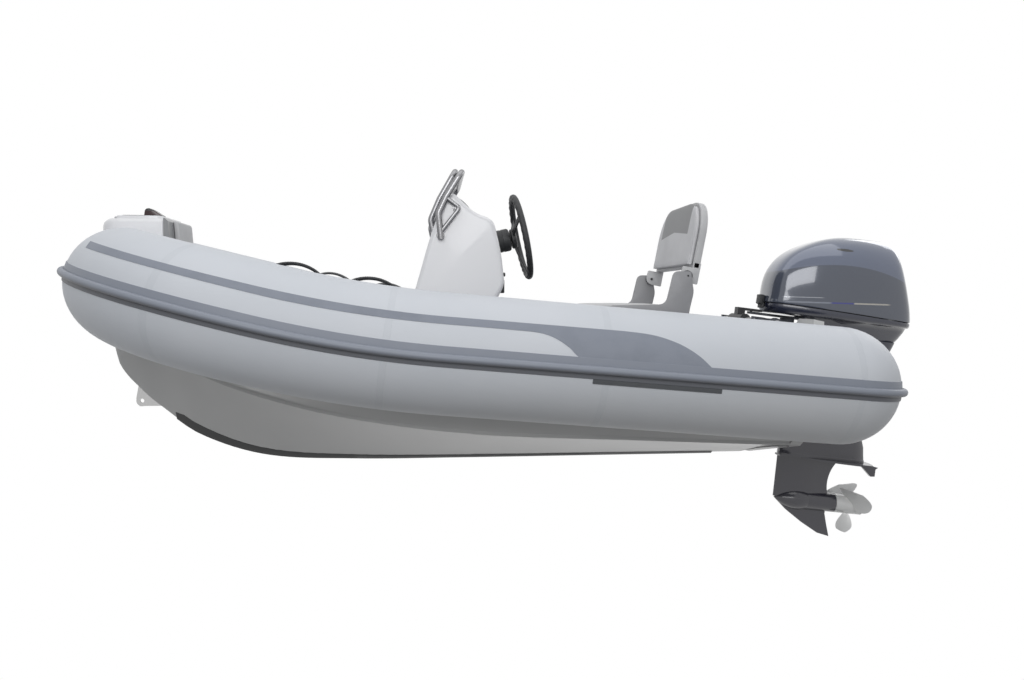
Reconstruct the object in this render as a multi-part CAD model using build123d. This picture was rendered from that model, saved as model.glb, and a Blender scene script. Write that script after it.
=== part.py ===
from build123d import *
import os
from math import asin, cos, degrees, radians, sin, sqrt

# Small rigid-hulled inflatable boat with a helm console, a fold-down seat and an outboard engine.
# Millimetres. +X to the bow, +Y to port, +Z up. The origin is on the waterline, amidships.

# --- buoyancy tube -----------------------------------------------------------------------------
tube_radius = 226.0
tube_spacing = 1310.0        # between the axes of the two side tubes
tube_tip_x = -1652.0         # aft end of the domed tube ends
bow_axis_x = 1387.0          # tube axis where it crosses the centreline
bow_axis_z = 588.0
stern_rise = 4.95            # climb of the aft tubes, degrees
bow_rise = 13.9              # climb of the plane that holds the bow loop, degrees
bend_start_x = 72.0          # from here to the bow loop the side tubes curve upwards
band_above = 41.0            # flat base of the rubbing strake, above the tube's widest line
band_below = 32.0            # and below it
band_thickness = 3.0
ridge_radius = 14.0          # round ridge of the strake
ridge_stand = 6.0            # its centre, out from the band's face
wear_height = 16.0           # wear strip under the strake, aft
wear_fore_x = -433.0
wear_aft_x = -895.0
end_cap_radius = 48.0
end_cap_thickness = 6.0

# --- hull, deck and transom --------------------------------------------------------------------
keel_z = -180.0
keel_half_width = 10.0
deck_z = 70.0
deck_thickness = 12.0
mat_thickness = 3.0
hull_aft_x = -1330.0         # foot of the transom's aft face
transom_rake = 12.0
transom_height = 540.0       # above the keel, at the engine's notch
transom_thickness = 45.0
transom_shoulder = 70.0      # sides above the notch
notch_half_width = 270.0
gunwale_drop = 130.0         # top of the hull's side under the tube axis
gunwale_inset = 185.0        # and inboard of it
cockpit_half_width = 440.0
bulkhead_setback = 293.0     # of the locker's bulkhead, from the bow axis point
bulkhead_half_width = 205.0
bulkhead_thickness = 12.0
guard_thickness = 6.0
guard_half_width = 42.0
guard_aft_x = -1150.0
guard_fore_x = 1222.0

# stations of the bottom: x, keel height, chine half-width, chine height
hull_stations = [
    (-1500.0, -180.0, 498.0, -72.0),
    (-700.0, -180.0, 505.0, -32.0),
    (0.0, -180.0, 500.0, 6.0),
    (480.0, -176.0, 468.0, 72.0),
    (850.0, -151.0, 385.0, 160.0),
    (1124.0, -58.0, 262.0, 250.0),
    (1288.0, 63.0, 160.0, 305.0),
    (1366.0, 134.0, 112.0, 330.0),
    (1451.0, 239.0, 44.0, 356.0),
    (1476.0, 335.0, 14.0, 372.0),
]

# --- bow locker --------------------------------------------------------------------------------
cap_aft = -174.0             # ends of the cap, from the bow axis point
cap_fore = 70.0
cap_stand = 36.0             # its top above the crest of the tube
cap_half_width = 178.0
cap_wall = 9.0
cap_drop = 165.0             # skirt of the cap down over the tube
hood_setback = 24.0          # the grey hood behind the cap
shoulder_z = 640.0           # top of the bulkhead beside the hood
lid_thickness = 12.0
lid_margin = 30.0
light_height = 43.0

# --- console -----------------------------------------------------------------------------------
console_half_width = 270.0
console_corner = 18.0
console_profile = [          # x, z from the foot of the front face round to the aft foot
    (292.0, 0.0), (250.0, 360.0), (202.0, 528.0), (129.0, 783.0), (67.0, 948.0), (34.0, 957.0),
    (-48.0, 879.0), (-131.0, 847.0), (-163.0, 710.0), (-177.0, 578.0), (-138.0, 508.0),
    (-122.0, 300.0), (-122.0, 0.0),
]
rail_radius = 12.5
rail_half_width = 200.0
wheel_diameter = 385.0
wheel_rim_radius = 15.0
wheel_x = -272.0
wheel_z = 795.0
wheel_lean = 12.0            # the wheel's top leans to the bow, degrees
helm_radius = 50.0
shaft_radius = 11.0

# --- seat --------------------------------------------------------------------------------------
seat_front_x = -570.0
seat_back_x = -950.0
seat_top_z = 500.0
seat_base_half_width = 304.0
cushion_thickness = 34.0
bracket_thickness = 10.0
back_pivot_x = -940.0
back_pivot_z = 617.0
back_lean = 11.0
back_gap = 14.0              # each side, between the back and its brackets
back_thickness = 60.0
back_corner = 150.0          # rounding of its upper corners
back_top_z = 940.0
back_bottom_z = 655.0
pad_thickness = 26.0
pivot_pin_radius = 6.0

# --- outboard ----------------------------------------------------------------------------------
pivot_x = -1403.0            # tilt tube axis
pivot_z = 410.0
engine_trim = 7.0            # the leg leans forward, degrees
steer_setback = 100.0        # steering axis aft of the tilt tube
tilt_tube_radius = 16.0
swivel_radius = 32.0
swivel_length = 400.0
plate_gap = 98.0             # half the space between the clamp plates
plate_thickness = 14.0
ventilation_plate_z = -600.0  # in the engine's own frame, as the next three
propeller_axis_z = -795.0
propeller_radius = 135.0
propeller_x = -505.0
hub_radius = 44.0
hub_length = 135.0
cowl_wall = 4.0
cowl_half_width = 185.0
running_gap = 0.05           # radial, shaft in bore
face_gap = 0.3               # between faces of different bodies
move_gap = 6.0               # between moving pieces

deg = radians
big = 4000.0                  # past every side of the boat, for cutting tools


def mid(a, b):
    return (a + b) / 2


def slab(outline, y_from, y_to):
    """Prism of an x-z outline between two y planes."""
    low, high = min(y_from, y_to), max(y_from, y_to)
    return extrude(Plane.XZ.offset(-high) * outline, amount=high - low)


def outline_of(points):
    return make_face(Polyline(*points, close=True))


def both(solid):
    """The solid and its mirror image in the centreline plane."""
    return Compound(children=[solid, mirror(solid, about=Plane.XZ)])


def write(node, *solids):
    pieces = [s for shape in solids for s in shape.solids()]
    if len(pieces) == 1:
        export_step(pieces[0], f"parts/{node}.step")
    else:
        export_step(Compound(children=pieces), f"parts/{node}.step")


os.makedirs("parts", exist_ok=True)

# --- the tube's axis, port side ------------------------------------------------------------------
# aft straight, upward bend, then a half circle round the bow that lies in one rising plane
half_spacing = tube_spacing / 2
sa, ca = sin(deg(stern_rise)), cos(deg(stern_rise))
sb, cb = sin(deg(bow_rise)), cos(deg(bow_rise))
bend_end_x = bow_axis_x - half_spacing * cb
bend_radius = (bend_end_x - bend_start_x) / (sb - sa)
loop_z = bow_axis_z - half_spacing * sb
bend_z = loop_z - bend_radius * (ca - cb)
dome_x = tube_tip_x + tube_radius * ca
dome_z = bend_z - (bend_start_x - dome_x) * sa / ca


def axis_at(x):
    """Half spacing and height of the tube's axis at x."""
    if x <= bend_start_x:
        return half_spacing, bend_z - (bend_start_x - x) * sa / ca
    if x <= bend_end_x:
        climb = asin(sa + (x - bend_start_x) / bend_radius)
        return half_spacing, bend_z + bend_radius * (ca - cos(climb))
    along = (x - bend_end_x) / cb
    return sqrt(max(half_spacing**2 - along**2, 0.0)), loop_z + along * sb


out = Vector(0, 1, 0)
aft_ahead, aft_up = Vector(ca, 0, sa), Vector(-sa, 0, ca)
bow_ahead, bow_up = Vector(cb, 0, sb), Vector(-sb, 0, cb)
dome_centre = Vector(dome_x, half_spacing, dome_z)
bend_start = Vector(bend_start_x, half_spacing, bend_z)
loop_start = Vector(bend_end_x, half_spacing, loop_z)

# start, direction ahead, then length or (centre, turning axis, angle)
runs = {
    "aft": (dome_centre, aft_ahead, (bend_start - dome_centre).length),
    "bend": (bend_start, aft_ahead, (bend_start + aft_up * bend_radius, out * -1, bow_rise - stern_rise)),
    "bow": (loop_start, bow_ahead, (loop_start - out * half_spacing, bow_up * -1, 180)),
}


def follow(section, names=("aft", "bend")):
    """Carry a section, drawn outward and up from the tube's axis, along the named port side runs."""
    solid = None
    for name in names:
        start, ahead, way = runs[name]
        face = Plane(origin=start, x_dir=out, z_dir=ahead) * section
        if isinstance(way, tuple):
            centre, turning, angle = way
            piece = revolve(face, axis=Axis(centre, turning), revolution_arc=angle)
        else:
            piece = extrude(face, amount=way)
        solid = piece if solid is None else solid + piece
    return solid


def whole_way(section, end):
    """Carry the section from an end piece along the port side, round the bow and back along starboard."""
    start, ahead, (centre, turning, angle) = runs["bow"]
    face = Plane(origin=start, x_dir=out, z_dir=ahead) * section
    bow = revolve(face, axis=Axis(centre, turning), revolution_arc=angle)
    leg = follow(section) + end
    return bow + leg + mirror(leg, about=Plane.XZ)


def round_dome(section, angle):
    """Carry the section round the domed end, from the side towards the tip."""
    face = Plane(origin=dome_centre, x_dir=out, z_dir=aft_ahead) * section
    return revolve(face, axis=Axis(dome_centre, aft_up), revolution_arc=angle)


def band(inner, outer, low, high):
    """Part of a ring about the tube's axis, between two angles above the outward direction."""
    def at(radius, angle):
        return (radius * cos(deg(angle)), radius * sin(deg(angle)))
    middle = mid(low, high)
    return make_face([
        ThreePointArc(at(inner, low), at(inner, middle), at(inner, high)),
        Line(at(inner, high), at(outer, high)),
        ThreePointArc(at(outer, high), at(outer, middle), at(outer, low)),
        Line(at(outer, low), at(inner, low)),
    ])


half_root = tube_radius * sqrt(0.5)
quarter_disc = make_face([
    Line((0, 0), (tube_radius, 0)),
    ThreePointArc((tube_radius, 0), (half_root, half_root), (0, tube_radius)),
    Line((0, tube_radius), (0, 0)),
])
dome_plane = Plane(origin=dome_centre, x_dir=out, z_dir=aft_up)
dome = revolve(dome_plane * quarter_disc, axis=Axis(dome_centre, aft_ahead))
tube = whole_way(Circle(tube_radius), dome)
write("tube_collar", tube)

band_low, band_high = -degrees(band_below / tube_radius), degrees(band_above / tube_radius)
dome_wrap = 89 - degrees(asin(end_cap_radius / tube_radius))     # round the domed end to its cap
band_outer = tube_radius + band_thickness
base = band(tube_radius, band_outer, band_low, band_high)
write("strake_base", whole_way(base, round_dome(base, dome_wrap)))

ridge = Pos(band_outer + ridge_stand, 0) * Circle(ridge_radius) - Circle(band_outer)
write("strake_ridge", whole_way(ridge, round_dome(ridge, dome_wrap)))

wear = band(tube_radius, band_outer, band_low - degrees(wear_height / tube_radius), band_low)
wear_reach = Pos(mid(wear_fore_x, wear_aft_x), half_spacing + tube_radius, dome_z) * Box(
    wear_fore_x - wear_aft_x, tube_radius * 2, tube_radius * 4)
write("wear_strips", both(follow(wear, ["aft"]) & wear_reach))

cap_plane = Plane(origin=dome_centre - aft_ahead * sqrt(tube_radius**2 - end_cap_radius**2), z_dir=aft_ahead * -1)
end_cap = extrude(cap_plane * Circle(end_cap_radius), amount=tube_radius, dir=aft_ahead * -1)
end_cap &= Pos(*dome_centre) * Sphere(tube_radius + end_cap_thickness)
end_cap -= Pos(*dome_centre) * Sphere(tube_radius)
write("tube_end_caps", both(end_cap))

# --- hull ------------------------------------------------------------------------------------------
def hull_section(x, z_keel, chine_y, chine_z):
    axis_y, axis_z = axis_at(x)
    # under the tube, inboard of its lowest line, then up its inner side
    flank = (max(axis_y - tube_radius * sin(deg(25)), chine_y + 6), axis_z - tube_radius * cos(deg(25)))
    gunwale = (max(axis_y - gunwale_inset, chine_y * 0.6), axis_z - gunwale_drop)
    port = [(keel_half_width, z_keel), (chine_y, chine_z), flank, gunwale]
    ring = port + [(-y, z) for y, z in reversed(port)]
    return Plane(origin=(x, 0, 0), x_dir=(0, 1, 0), z_dir=(1, 0, 0)) * outline_of(ring)


hull_form = loft([hull_section(*station).face() for station in hull_stations], ruled=True)

# the transom's plane: its aft face, up the rake
rake = deg(transom_rake)
up_rake = Vector(-sin(rake), 0, cos(rake))
into_boat = Vector(cos(rake), 0, sin(rake))
transom_foot = Vector(hull_aft_x, 0, keel_z)
transom_plane = Plane(origin=transom_foot, x_dir=(0, 1, 0), z_dir=into_boat)
transom_top = transom_height / cos(rake)
behind_transom = extrude(transom_plane.offset(transom_thickness) * Rectangle(big, big), amount=-big)

deck_under = deck_z - deck_thickness
bulkhead_x = bow_axis_x - bulkhead_setback
# the cockpit: x, half-width at the deck, half-width and height where its sides turn upright
well_stations = [
    (hull_aft_x - 200, cockpit_half_width, cockpit_half_width, deck_z + 60),
    (430.0, cockpit_half_width - 10, cockpit_half_width, deck_z + 60),
    (850.0, 222.0, 338.0, 165.0),
    (bulkhead_x, 84.0, bulkhead_half_width, 235.0),
]


def well_section(x, floor_y, side_y, side_z):
    port = [(floor_y, deck_under), (side_y, side_z), (side_y, deck_z + 1000)]
    ring = port + [(-y, z) for y, z in reversed(port)]
    return Plane(origin=(x, 0, 0), x_dir=(0, 1, 0), z_dir=(1, 0, 0)) * outline_of(ring)


well = loft([well_section(*station).face() for station in well_stations], ruled=True)
hull = hull_form - behind_transom - well - tube
hull = max(hull.solids(), key=lambda s: s.volume)
write("hull", hull)

deck_slab = Pos(0, 0, deck_under + deck_thickness / 2) * Box(big, big, deck_thickness)
deck = (well & deck_slab) - behind_transom - tube
deck = max(deck.solids(), key=lambda s: s.volume)
write("deck", deck)

mat_margin = 14.0
mat_outline = [(x, floor_y - mat_margin) for x, floor_y, _, _ in well_stations]
mat_outline[-1] = (bulkhead_x - mat_margin, mat_outline[-1][1])
mat_ring = mat_outline + [(x, -y) for x, y in reversed(mat_outline)]
deck_mat = extrude(Plane.XY.offset(deck_z) * outline_of(mat_ring), amount=mat_thickness)
deck_mat -= extrude(transom_plane.offset(transom_thickness + mat_margin) * Rectangle(big, big), amount=-big)
deck_mat -= tube
write("deck_mat", deck_mat)

chine_y, chine_z = hull_stations[0][2:]
shoulder = transom_top + transom_shoulder
transom_half = [
    (0.0, 0.0), (keel_half_width, 0.0), (chine_y, (chine_z - keel_z) / cos(rake)), (600.0, 205.0),
    (600.0, 330.0), (500.0, 540.0), (470.0, shoulder), (notch_half_width + 60, shoulder),
    (notch_half_width, transom_top), (0.0, transom_top),
]
transom_ring = transom_half + [(-y, s) for y, s in reversed(transom_half[1:-1])]
transom = extrude(transom_plane * outline_of(transom_ring), amount=transom_thickness) - tube
transom = max(transom.solids(), key=lambda s: s.volume)
write("transom", transom)

keel_line = [(x, z) for x, z, _, _ in hull_stations if x < 1300]
guard_side = [(x, z - guard_thickness) for x, z in keel_line] + [(x, z + 54) for x, z in reversed(keel_line)]
guard = slab(outline_of(guard_side), -guard_half_width, guard_half_width) - hull_form
guard &= Pos(mid(guard_aft_x, guard_fore_x), 0, 0) * Box(guard_fore_x - guard_aft_x, big, big)
guard = max(guard.solids(), key=lambda s: s.volume)
write("keel_guard", guard)

# towing and mooring eye welded to the stem
eye_x, eye_z, eye_radius, eye_bore, eye_thickness = 1367.0, 83.0, 24.0, 9.0, 10.0
eye_side = outline_of([(1374, 182), (eye_x + eye_radius, eye_z + 10), (eye_x + 10, eye_z - eye_radius),
                       (eye_x - 10, eye_z - eye_radius + 1), (1284, 60), (1290, 90)])
eye_side = eye_side + Pos(eye_x, eye_z) * Circle(eye_radius)
bow_eye = slab(eye_side, -eye_thickness / 2, eye_thickness / 2) - hull_form
bow_eye -= Pos(eye_x, 0, eye_z) * Rot(90, 0, 0) * Cylinder(eye_bore, 100)
bow_eye = max(bow_eye.solids(), key=lambda s: s.volume)
write("bow_eye", bow_eye)

# two eyes on the transom's aft face
tow_y, tow_height, tow_stand, tow_bore = 335.0, 330.0, 34.0, 9.0
tow_at = transom_foot + up_rake * tow_height
tow_base = Pos(0, 0, -4) * Box(60, 60, 8)
tow_lug = Pos(0, 0, -8) * extrude(Plane.XZ.offset(-5) * (
    outline_of([(-22, 0), (22, 0), (16, -tow_stand), (-16, -tow_stand)]) + Pos(0, -tow_stand) * Circle(16)), amount=10)
tow_lug -= Pos(0, 0, -8 - tow_stand) * Rot(90, 0, 0) * Cylinder(tow_bore, 60)
tow_frame = Plane(origin=tow_at + Vector(0, tow_y, 0), x_dir=(0, 1, 0), z_dir=into_boat)
tow_eye = tow_frame * (tow_base + tow_lug)
write("tow_eyes", both(tow_eye))

# strap handles along the inner top of the tube
handle_angle = 106.0         # round the tube from its outer side
handle_half, handle_rise = 100.0, 31.0
handle_strap, handle_width = 7.0, 34.0
handle_toe = 12.0            # foot of the arch
handle_pad_length = 56.0


def handle(x):
    axis_y, axis_z = axis_at(x)
    ahead_y, ahead_z = axis_at(x + 10)
    back_y, back_z = axis_at(x - 10)
    ahead = Vector(20, ahead_y - back_y, ahead_z - back_z).normalized()
    outward = Vector(-ahead.Y, ahead.X, 0).normalized()
    upward = ahead.cross(outward)
    radial = outward * cos(deg(handle_angle)) + upward * sin(deg(handle_angle))
    frame = Plane(origin=Vector(x, axis_y, axis_z), x_dir=ahead, z_dir=radial.cross(ahead) * -1)
    top, foot = tube_radius + handle_rise, tube_radius - 4
    arch = make_face([
        ThreePointArc((-handle_half, foot), (0, top), (handle_half, foot)),
        Line((handle_half, foot), (handle_half - handle_toe, foot)),
        ThreePointArc((handle_half - handle_toe, foot), (0, top - handle_strap), (handle_toe - handle_half, foot)),
        Line((handle_toe - handle_half, foot), (-handle_half, foot)),
    ])
    pads = [Pos(side * handle_half, tube_radius) * Rectangle(handle_pad_length, handle_strap) for side in (-1, 1)]
    return extrude(frame * (arch + pads[0] + pads[1]), amount=handle_width / 2, both=True) - tube


handle_places = [660.0, 374.0]
for number, x in enumerate(handle_places, start=1):
    strap = max(handle(x).solids(), key=lambda s: s.volume)
    write(f"grab_handle_port_{number}", strap)
    write(f"grab_handle_starboard_{number}", mirror(strap, about=Plane.XZ))

# --- bow locker ------------------------------------------------------------------------------------
# a white moulded cap over the nose of the tube, and a grey bulkhead with a hood behind it
cap_aft_x, cap_fore_x = bow_axis_x + cap_aft, bow_axis_x + cap_fore
cap_top_z = bow_axis_z + tube_radius + cap_stand
cap_base_z = cap_top_z - cap_drop
cap_nose = 24.0              # bulge of the cap's front
cap_round = 34.0             # height and depth of its rounded front edge


def cap_form(inset):
    back, tip, top = cap_aft_x + inset, cap_fore_x + cap_nose - inset, cap_top_z - inset
    side = outline_of([
        (back, cap_base_z - inset), (tip, cap_base_z - inset), (tip - 2, top - cap_round),
        (tip - cap_round / 2, top - cap_round / 3), (tip - cap_round, top), (back, top),
    ])
    half = cap_half_width - inset
    corner, bulge = (cap_fore_x - 70, half), (cap_fore_x - inset, half - 44)
    plan = make_face([
        Line((back, -half), (back, half)),
        Line((back, half), corner),
        ThreePointArc(corner, bulge, (tip, 0)),
        ThreePointArc((tip, 0), (bulge[0], -bulge[1]), (corner[0], -half)),
        Line((corner[0], -half), (back, -half)),
    ])
    return slab(side, -half, half) & extrude(Pos(0, 0, cap_base_z - 2 * inset) * plan, amount=2 * cap_drop)


lid_aft_x = cap_aft_x + lid_margin / 2
lid_fore_x = cap_fore_x + cap_nose - 2 * cap_round
lid_half_width = cap_half_width - lid_margin
lid_lap = 16.0
lid_gap = face_gap
hatch = Pos(mid(lid_aft_x, lid_fore_x), 0, cap_top_z) * Box(
    lid_fore_x - lid_aft_x - 2 * lid_lap, 2 * (lid_half_width - lid_lap), 80)
cap_mouth = Pos(cap_aft_x, 0, cap_base_z) * Box(
    4 * cap_wall, 2 * (cap_half_width - 2 * cap_wall), 2 * (cap_drop - cap_wall))
bow_cap = cap_form(0.0) - cap_form(cap_wall) - hatch - cap_mouth - tube
bow_cap = max(bow_cap.solids(), key=lambda s: s.volume)

# hinge along the lid's forward edge
hinge_x, hinge_z = lid_fore_x + 8.0, cap_top_z + 6.5
hinge_pin_radius, knuckle_radius = 3.0, 6.0
knuckle_half, ear_width = 22.0, 8.0
hinge_places = [lid_half_width * 0.55, -lid_half_width * 0.55]


def along_y(radius, length, x, y, z):
    return Pos(x, y, z) * Rot(90, 0, 0) * Cylinder(radius, length)


hinge_pins = []
for y in hinge_places:
    for side in (-1, 1):
        ear_y = y + side * (knuckle_half + ear_width / 2 + 0.5)
        ear = along_y(knuckle_radius, ear_width, hinge_x, ear_y, hinge_z)
        ear += Pos(hinge_x, ear_y, mid(cap_top_z, hinge_z)) * Box(
            2 * knuckle_radius, ear_width, hinge_z - cap_top_z)
        bow_cap += ear
    bow_cap -= along_y(hinge_pin_radius, 3 * knuckle_half, hinge_x, y, hinge_z)
    hinge_pins.append(along_y(hinge_pin_radius, 2 * (knuckle_half + ear_width), hinge_x, y, hinge_z))
write("bow_cap", bow_cap)
write("lid_hinge_pins", *hinge_pins)

lid_z = cap_top_z + lid_gap
lid = Pos(mid(lid_aft_x, lid_fore_x), 0, lid_z + lid_thickness / 2) * Box(
    lid_fore_x - lid_aft_x, 2 * lid_half_width, lid_thickness)
lid = fillet(lid.edges().filter_by(Axis.Z), 26)
for y in hinge_places:
    lid += along_y(knuckle_radius, 2 * knuckle_half, hinge_x, y, hinge_z)
    lid += Pos(mid(lid_fore_x, hinge_x), y, hinge_z) * Box(hinge_x - lid_fore_x + 4, 2 * knuckle_half, 5)
    lid -= along_y(hinge_pin_radius + running_gap, 3 * knuckle_half, hinge_x, y, hinge_z)
write("locker_lid", lid)

lid_mat = Pos(mid(lid_aft_x, lid_fore_x), 0, lid_z + lid_thickness + mat_thickness / 2) * Box(
    lid_fore_x - lid_aft_x - 36, 2 * lid_half_width - 36, mat_thickness)
lid_mat = fillet(lid_mat.edges().filter_by(Axis.Z), 18)
light_z = lid_z + lid_thickness
light_aft_x, light_fore_x, light_half_width = cap_aft_x + 49, cap_aft_x + 123, 30.0
light_side = make_face([
    Line((light_aft_x, light_z), (light_fore_x, light_z)),
    Line((light_fore_x, light_z), (light_fore_x - 2, light_z + light_height - 8)),
    ThreePointArc((light_fore_x - 2, light_z + light_height - 8), (light_fore_x - 22, light_z + light_height),
                  (light_aft_x, light_z + 14)),
    Line((light_aft_x, light_z + 14), (light_aft_x, light_z)),
])
bow_light = slab(light_side, -light_half_width, light_half_width)
lid_mat -= Pos(mid(light_aft_x, light_fore_x), 0, light_z) * Box(
    light_fore_x - light_aft_x + 4, 2 * light_half_width + 4, 20)
write("lid_mat", lid_mat)
write("bow_light", bow_light)

bulkhead_foot = 300.0
hood_x, hood_foot = cap_aft_x - hood_setback, cap_top_z - 96
wall = bulkhead_thickness
hood_side = [(bulkhead_x, bulkhead_foot), (bulkhead_x, shoulder_z + 40), (hood_x, hood_foot),
             (hood_x + 6, cap_top_z - 12), (hood_x + 18, cap_top_z), (cap_aft_x, cap_top_z),
             (cap_aft_x, bulkhead_foot)]
hood_core = [(bulkhead_x + wall, bulkhead_foot - 1), (bulkhead_x + wall, shoulder_z + 36),
             (hood_x + wall, hood_foot - 4), (hood_x + 6 + wall, cap_top_z - wall),
             (cap_aft_x + 1, cap_top_z - wall), (cap_aft_x + 1, bulkhead_foot - 1)]
shelf_reach = 170.0          # the bulkhead's shoulders run forward to the tube
shoulders = [(bulkhead_x, bulkhead_foot), (bulkhead_x, shoulder_z), (bulkhead_x + shelf_reach, shoulder_z),
             (bulkhead_x + shelf_reach, shoulder_z - wall), (bulkhead_x + wall, shoulder_z - wall),
             (bulkhead_x + wall, bulkhead_foot)]
hood = slab(outline_of(hood_side), -cap_half_width, cap_half_width)
hood += slab(outline_of(shoulders), -half_spacing, half_spacing)
hood -= slab(outline_of(hood_core), cap_wall - cap_half_width, cap_half_width - cap_wall)
hood = hood - tube - hull
hood = max(hood.solids(), key=lambda s: s.volume)
write("locker_bulkhead", hood)

# a small cushion on the hood's aft face
bow_pad_half, bow_pad_thickness = 100.0, 22.0
bow_pad = slab(outline_of([
    (hood_x - bow_pad_thickness, hood_foot + 2), (hood_x - bow_pad_thickness + 8, cap_top_z - 10),
    (hood_x + 10, cap_top_z - 4), (hood_x + 10, hood_foot + 2)]), -bow_pad_half, bow_pad_half)
bow_pad -= slab(outline_of(hood_side), -cap_half_width, cap_half_width)
write("bow_pad", max(bow_pad.solids(), key=lambda s: s.volume))

# --- console ---------------------------------------------------------------------------------------
console_foot = deck_z + mat_thickness
console_side = outline_of([(x, max(z, console_foot)) for x, z in console_profile])
console = slab(console_side, -console_half_width, console_half_width)
side_edges = [e for e in console.edges()
              if min(abs(v.Y) for v in e.vertices()) > console_half_width - 1
              and abs(e.vertices()[0].Y - e.vertices()[1].Y) < 1
              and max(v.Z for v in e.vertices()) > console_foot + 1]
console = fillet(side_edges, console_corner)


def on_slope(low, high):
    """Frame in the middle of the profile's edge from high to low, its normal out of the console."""
    edge = Vector(low[0] - high[0], 0, low[1] - high[1]).normalized()
    return Plane(origin=(mid(low[0], high[0]), 0, mid(low[1], high[1])), x_dir=(0, -1, 0),
                 z_dir=Vector(0, -1, 0).cross(edge * -1))


dash_high, dash_low = console_profile[5], console_profile[6]
dash_frame = on_slope(dash_low, dash_high)
dash_length = sqrt((dash_high[0] - dash_low[0]) ** 2 + (dash_high[1] - dash_low[1]) ** 2)
dash_width, dash_plate, gauge_radius, gauge_depth = 420.0, 4.0, 32.0, 10.0
dash = dash_frame * extrude(Rectangle(dash_width, dash_length - 16), amount=dash_plate)
write("dash_panel", dash)
gauges = [dash_frame.offset(dash_plate) * Pos(x, 0, gauge_depth / 2) * Cylinder(gauge_radius, gauge_depth)
          for x in (-120, 0, 120)]
write("gauges", *gauges)

switch_y, switch_z = 60.0, 575.0
switch_width, switch_height, switch_depth = 70.0, 58.0, 14.0
key_radius, key_rise = 9.0, 52.0
aft_x = min(x for x, _ in console_profile)
switch_box = Pos(aft_x, switch_y, switch_z) * Box(2 * switch_depth, switch_width, switch_height)
switch_box += Pos(aft_x, switch_y, switch_z + key_rise) * Rot(0, 90, 0) * Cylinder(key_radius, 2 * switch_depth + 12)
switch_box -= slab(console_side, -console_half_width, console_half_width)
write("ignition_panel", *switch_box.solids())

throttle_x, throttle_y, throttle_z = -60.0, -console_half_width, 700.0
throttle_depth = 44.0
throttle_box = Pos(throttle_x, throttle_y - throttle_depth / 2, throttle_z) * Box(90, throttle_depth, 130)
throttle_box = fillet(throttle_box.edges().filter_by(Axis.Y), 24)
write("throttle_box", throttle_box)
lever_y = throttle_y - throttle_depth - 8
lever = Pos(throttle_x, lever_y, throttle_z + 20) * Rot(90, 0, 0) * Cylinder(20, 16)
lever_side = [(-12, 15), (12, 15), (30, 150), (12, 155)]
lever += slab(outline_of([(throttle_x + x, throttle_z + z) for x, z in lever_side]), lever_y - 8, lever_y + 6)
lever += Pos(throttle_x + 22, lever_y + 12, throttle_z + 152) * Rot(90, 0, 0) * Cylinder(15, 60)
write("throttle_lever", lever)


def tube_along(points, radius, bends):
    path = FilletPolyline(*points, radius=bends)
    start = Plane(origin=path @ 0, z_dir=path % 0)
    return sweep(start * Circle(radius), path=path)


def hoop(points, half_width, bend):
    """Rail through the x-z points on one side, across, and back down the other side."""
    ring = [(x, half_width, z) for x, z in points] + [(x, -half_width, z) for x, z in reversed(points)]
    return tube_along(ring, rail_radius, bend)


front_rail = hoop([(118.0, 800.0), (128.0, 850.0), (91.0, 936.0), (24.0, 1054.0)], rail_half_width, 34.0)
side_rail_y = console_half_width + rail_radius + 4
side_rail = hoop([(86.0, 764.0), (97.0, 868.0), (65.0, 936.0), (0.0, 1040.0)], side_rail_y, 34.0)
brace_points = [(65.0, 934.0), (10.0, 892.0), (88.0, 792.0)]
brace = [tube_along([(x, s * side_rail_y, z) for x, z in brace_points], rail_radius * 0.7, 14.0) for s in (-1, 1)]
rail = front_rail + side_rail + brace[0] + brace[1]
for s in (-1, 1):
    for x, z in ((88.0, 780.0), (22.0, 893.0)):
        rail += Pos(x, s * (side_rail_y - rail_radius / 2 - 2), z) * Rot(90, 0, 0) * Cylinder(10, rail_radius + 4)
rail -= slab(console_side, -console_half_width, console_half_width)
rail = max(rail.solids(), key=lambda s: s.volume)
write("console_rail", rail)

# --- helm and steering wheel ---------------------------------------------------------------------
lean = deg(wheel_lean)
column = Vector(-cos(lean), 0, sin(lean))        # from the dash towards the driver
wheel_frame = Plane(origin=(wheel_x, 0, wheel_z), x_dir=(0, 1, 0), z_dir=column)
rim_radius = wheel_diameter / 2 - wheel_rim_radius
dish = 34.0                                      # hub ahead of the rim's plane
rim = wheel_frame * Torus(rim_radius, wheel_rim_radius)
hub_back, hub_thickness, hub_disc = -dish - 12.0, 24.0, 44.0
hub = wheel_frame * Pos(0, 0, hub_back + hub_thickness / 2) * Cylinder(hub_disc, hub_thickness)
spokes = hub
spoke_side = outline_of([(hub_disc - 10, hub_back + 14), (rim_radius - 4, -4), (rim_radius - 4, 3),
                         (hub_disc - 10, hub_back + 21)])
for angle in (90, 210, 330):
    blade = extrude(Plane.XZ.offset(-16) * spoke_side, amount=32)
    spokes += wheel_frame * Rot(0, 0, angle) * blade
spokes -= wheel_frame * Torus(rim_radius, wheel_rim_radius)
shaft_length = 90.0
spokes += wheel_frame * Pos(0, 0, hub_back - shaft_length / 2) * Cylinder(shaft_radius, shaft_length)
write("steering_wheel_rim", rim)
write("steering_wheel_spokes", *spokes.solids())
helm_front = hub_back - move_gap
helm = wheel_frame * Pos(0, 0, helm_front - 60) * Cylinder(helm_radius, 120)
helm -= slab(console_side, -console_half_width, console_half_width)
helm -= wheel_frame * Pos(0, 0, hub_back - 100) * Cylinder(shaft_radius + running_gap, 200)
helm = max(helm.solids(), key=lambda s: s.volume)
write("helm_unit", helm)
console -= wheel_frame * Pos(0, 0, hub_back - 100) * Cylinder(shaft_radius + running_gap, 200)
write("console", console)

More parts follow.
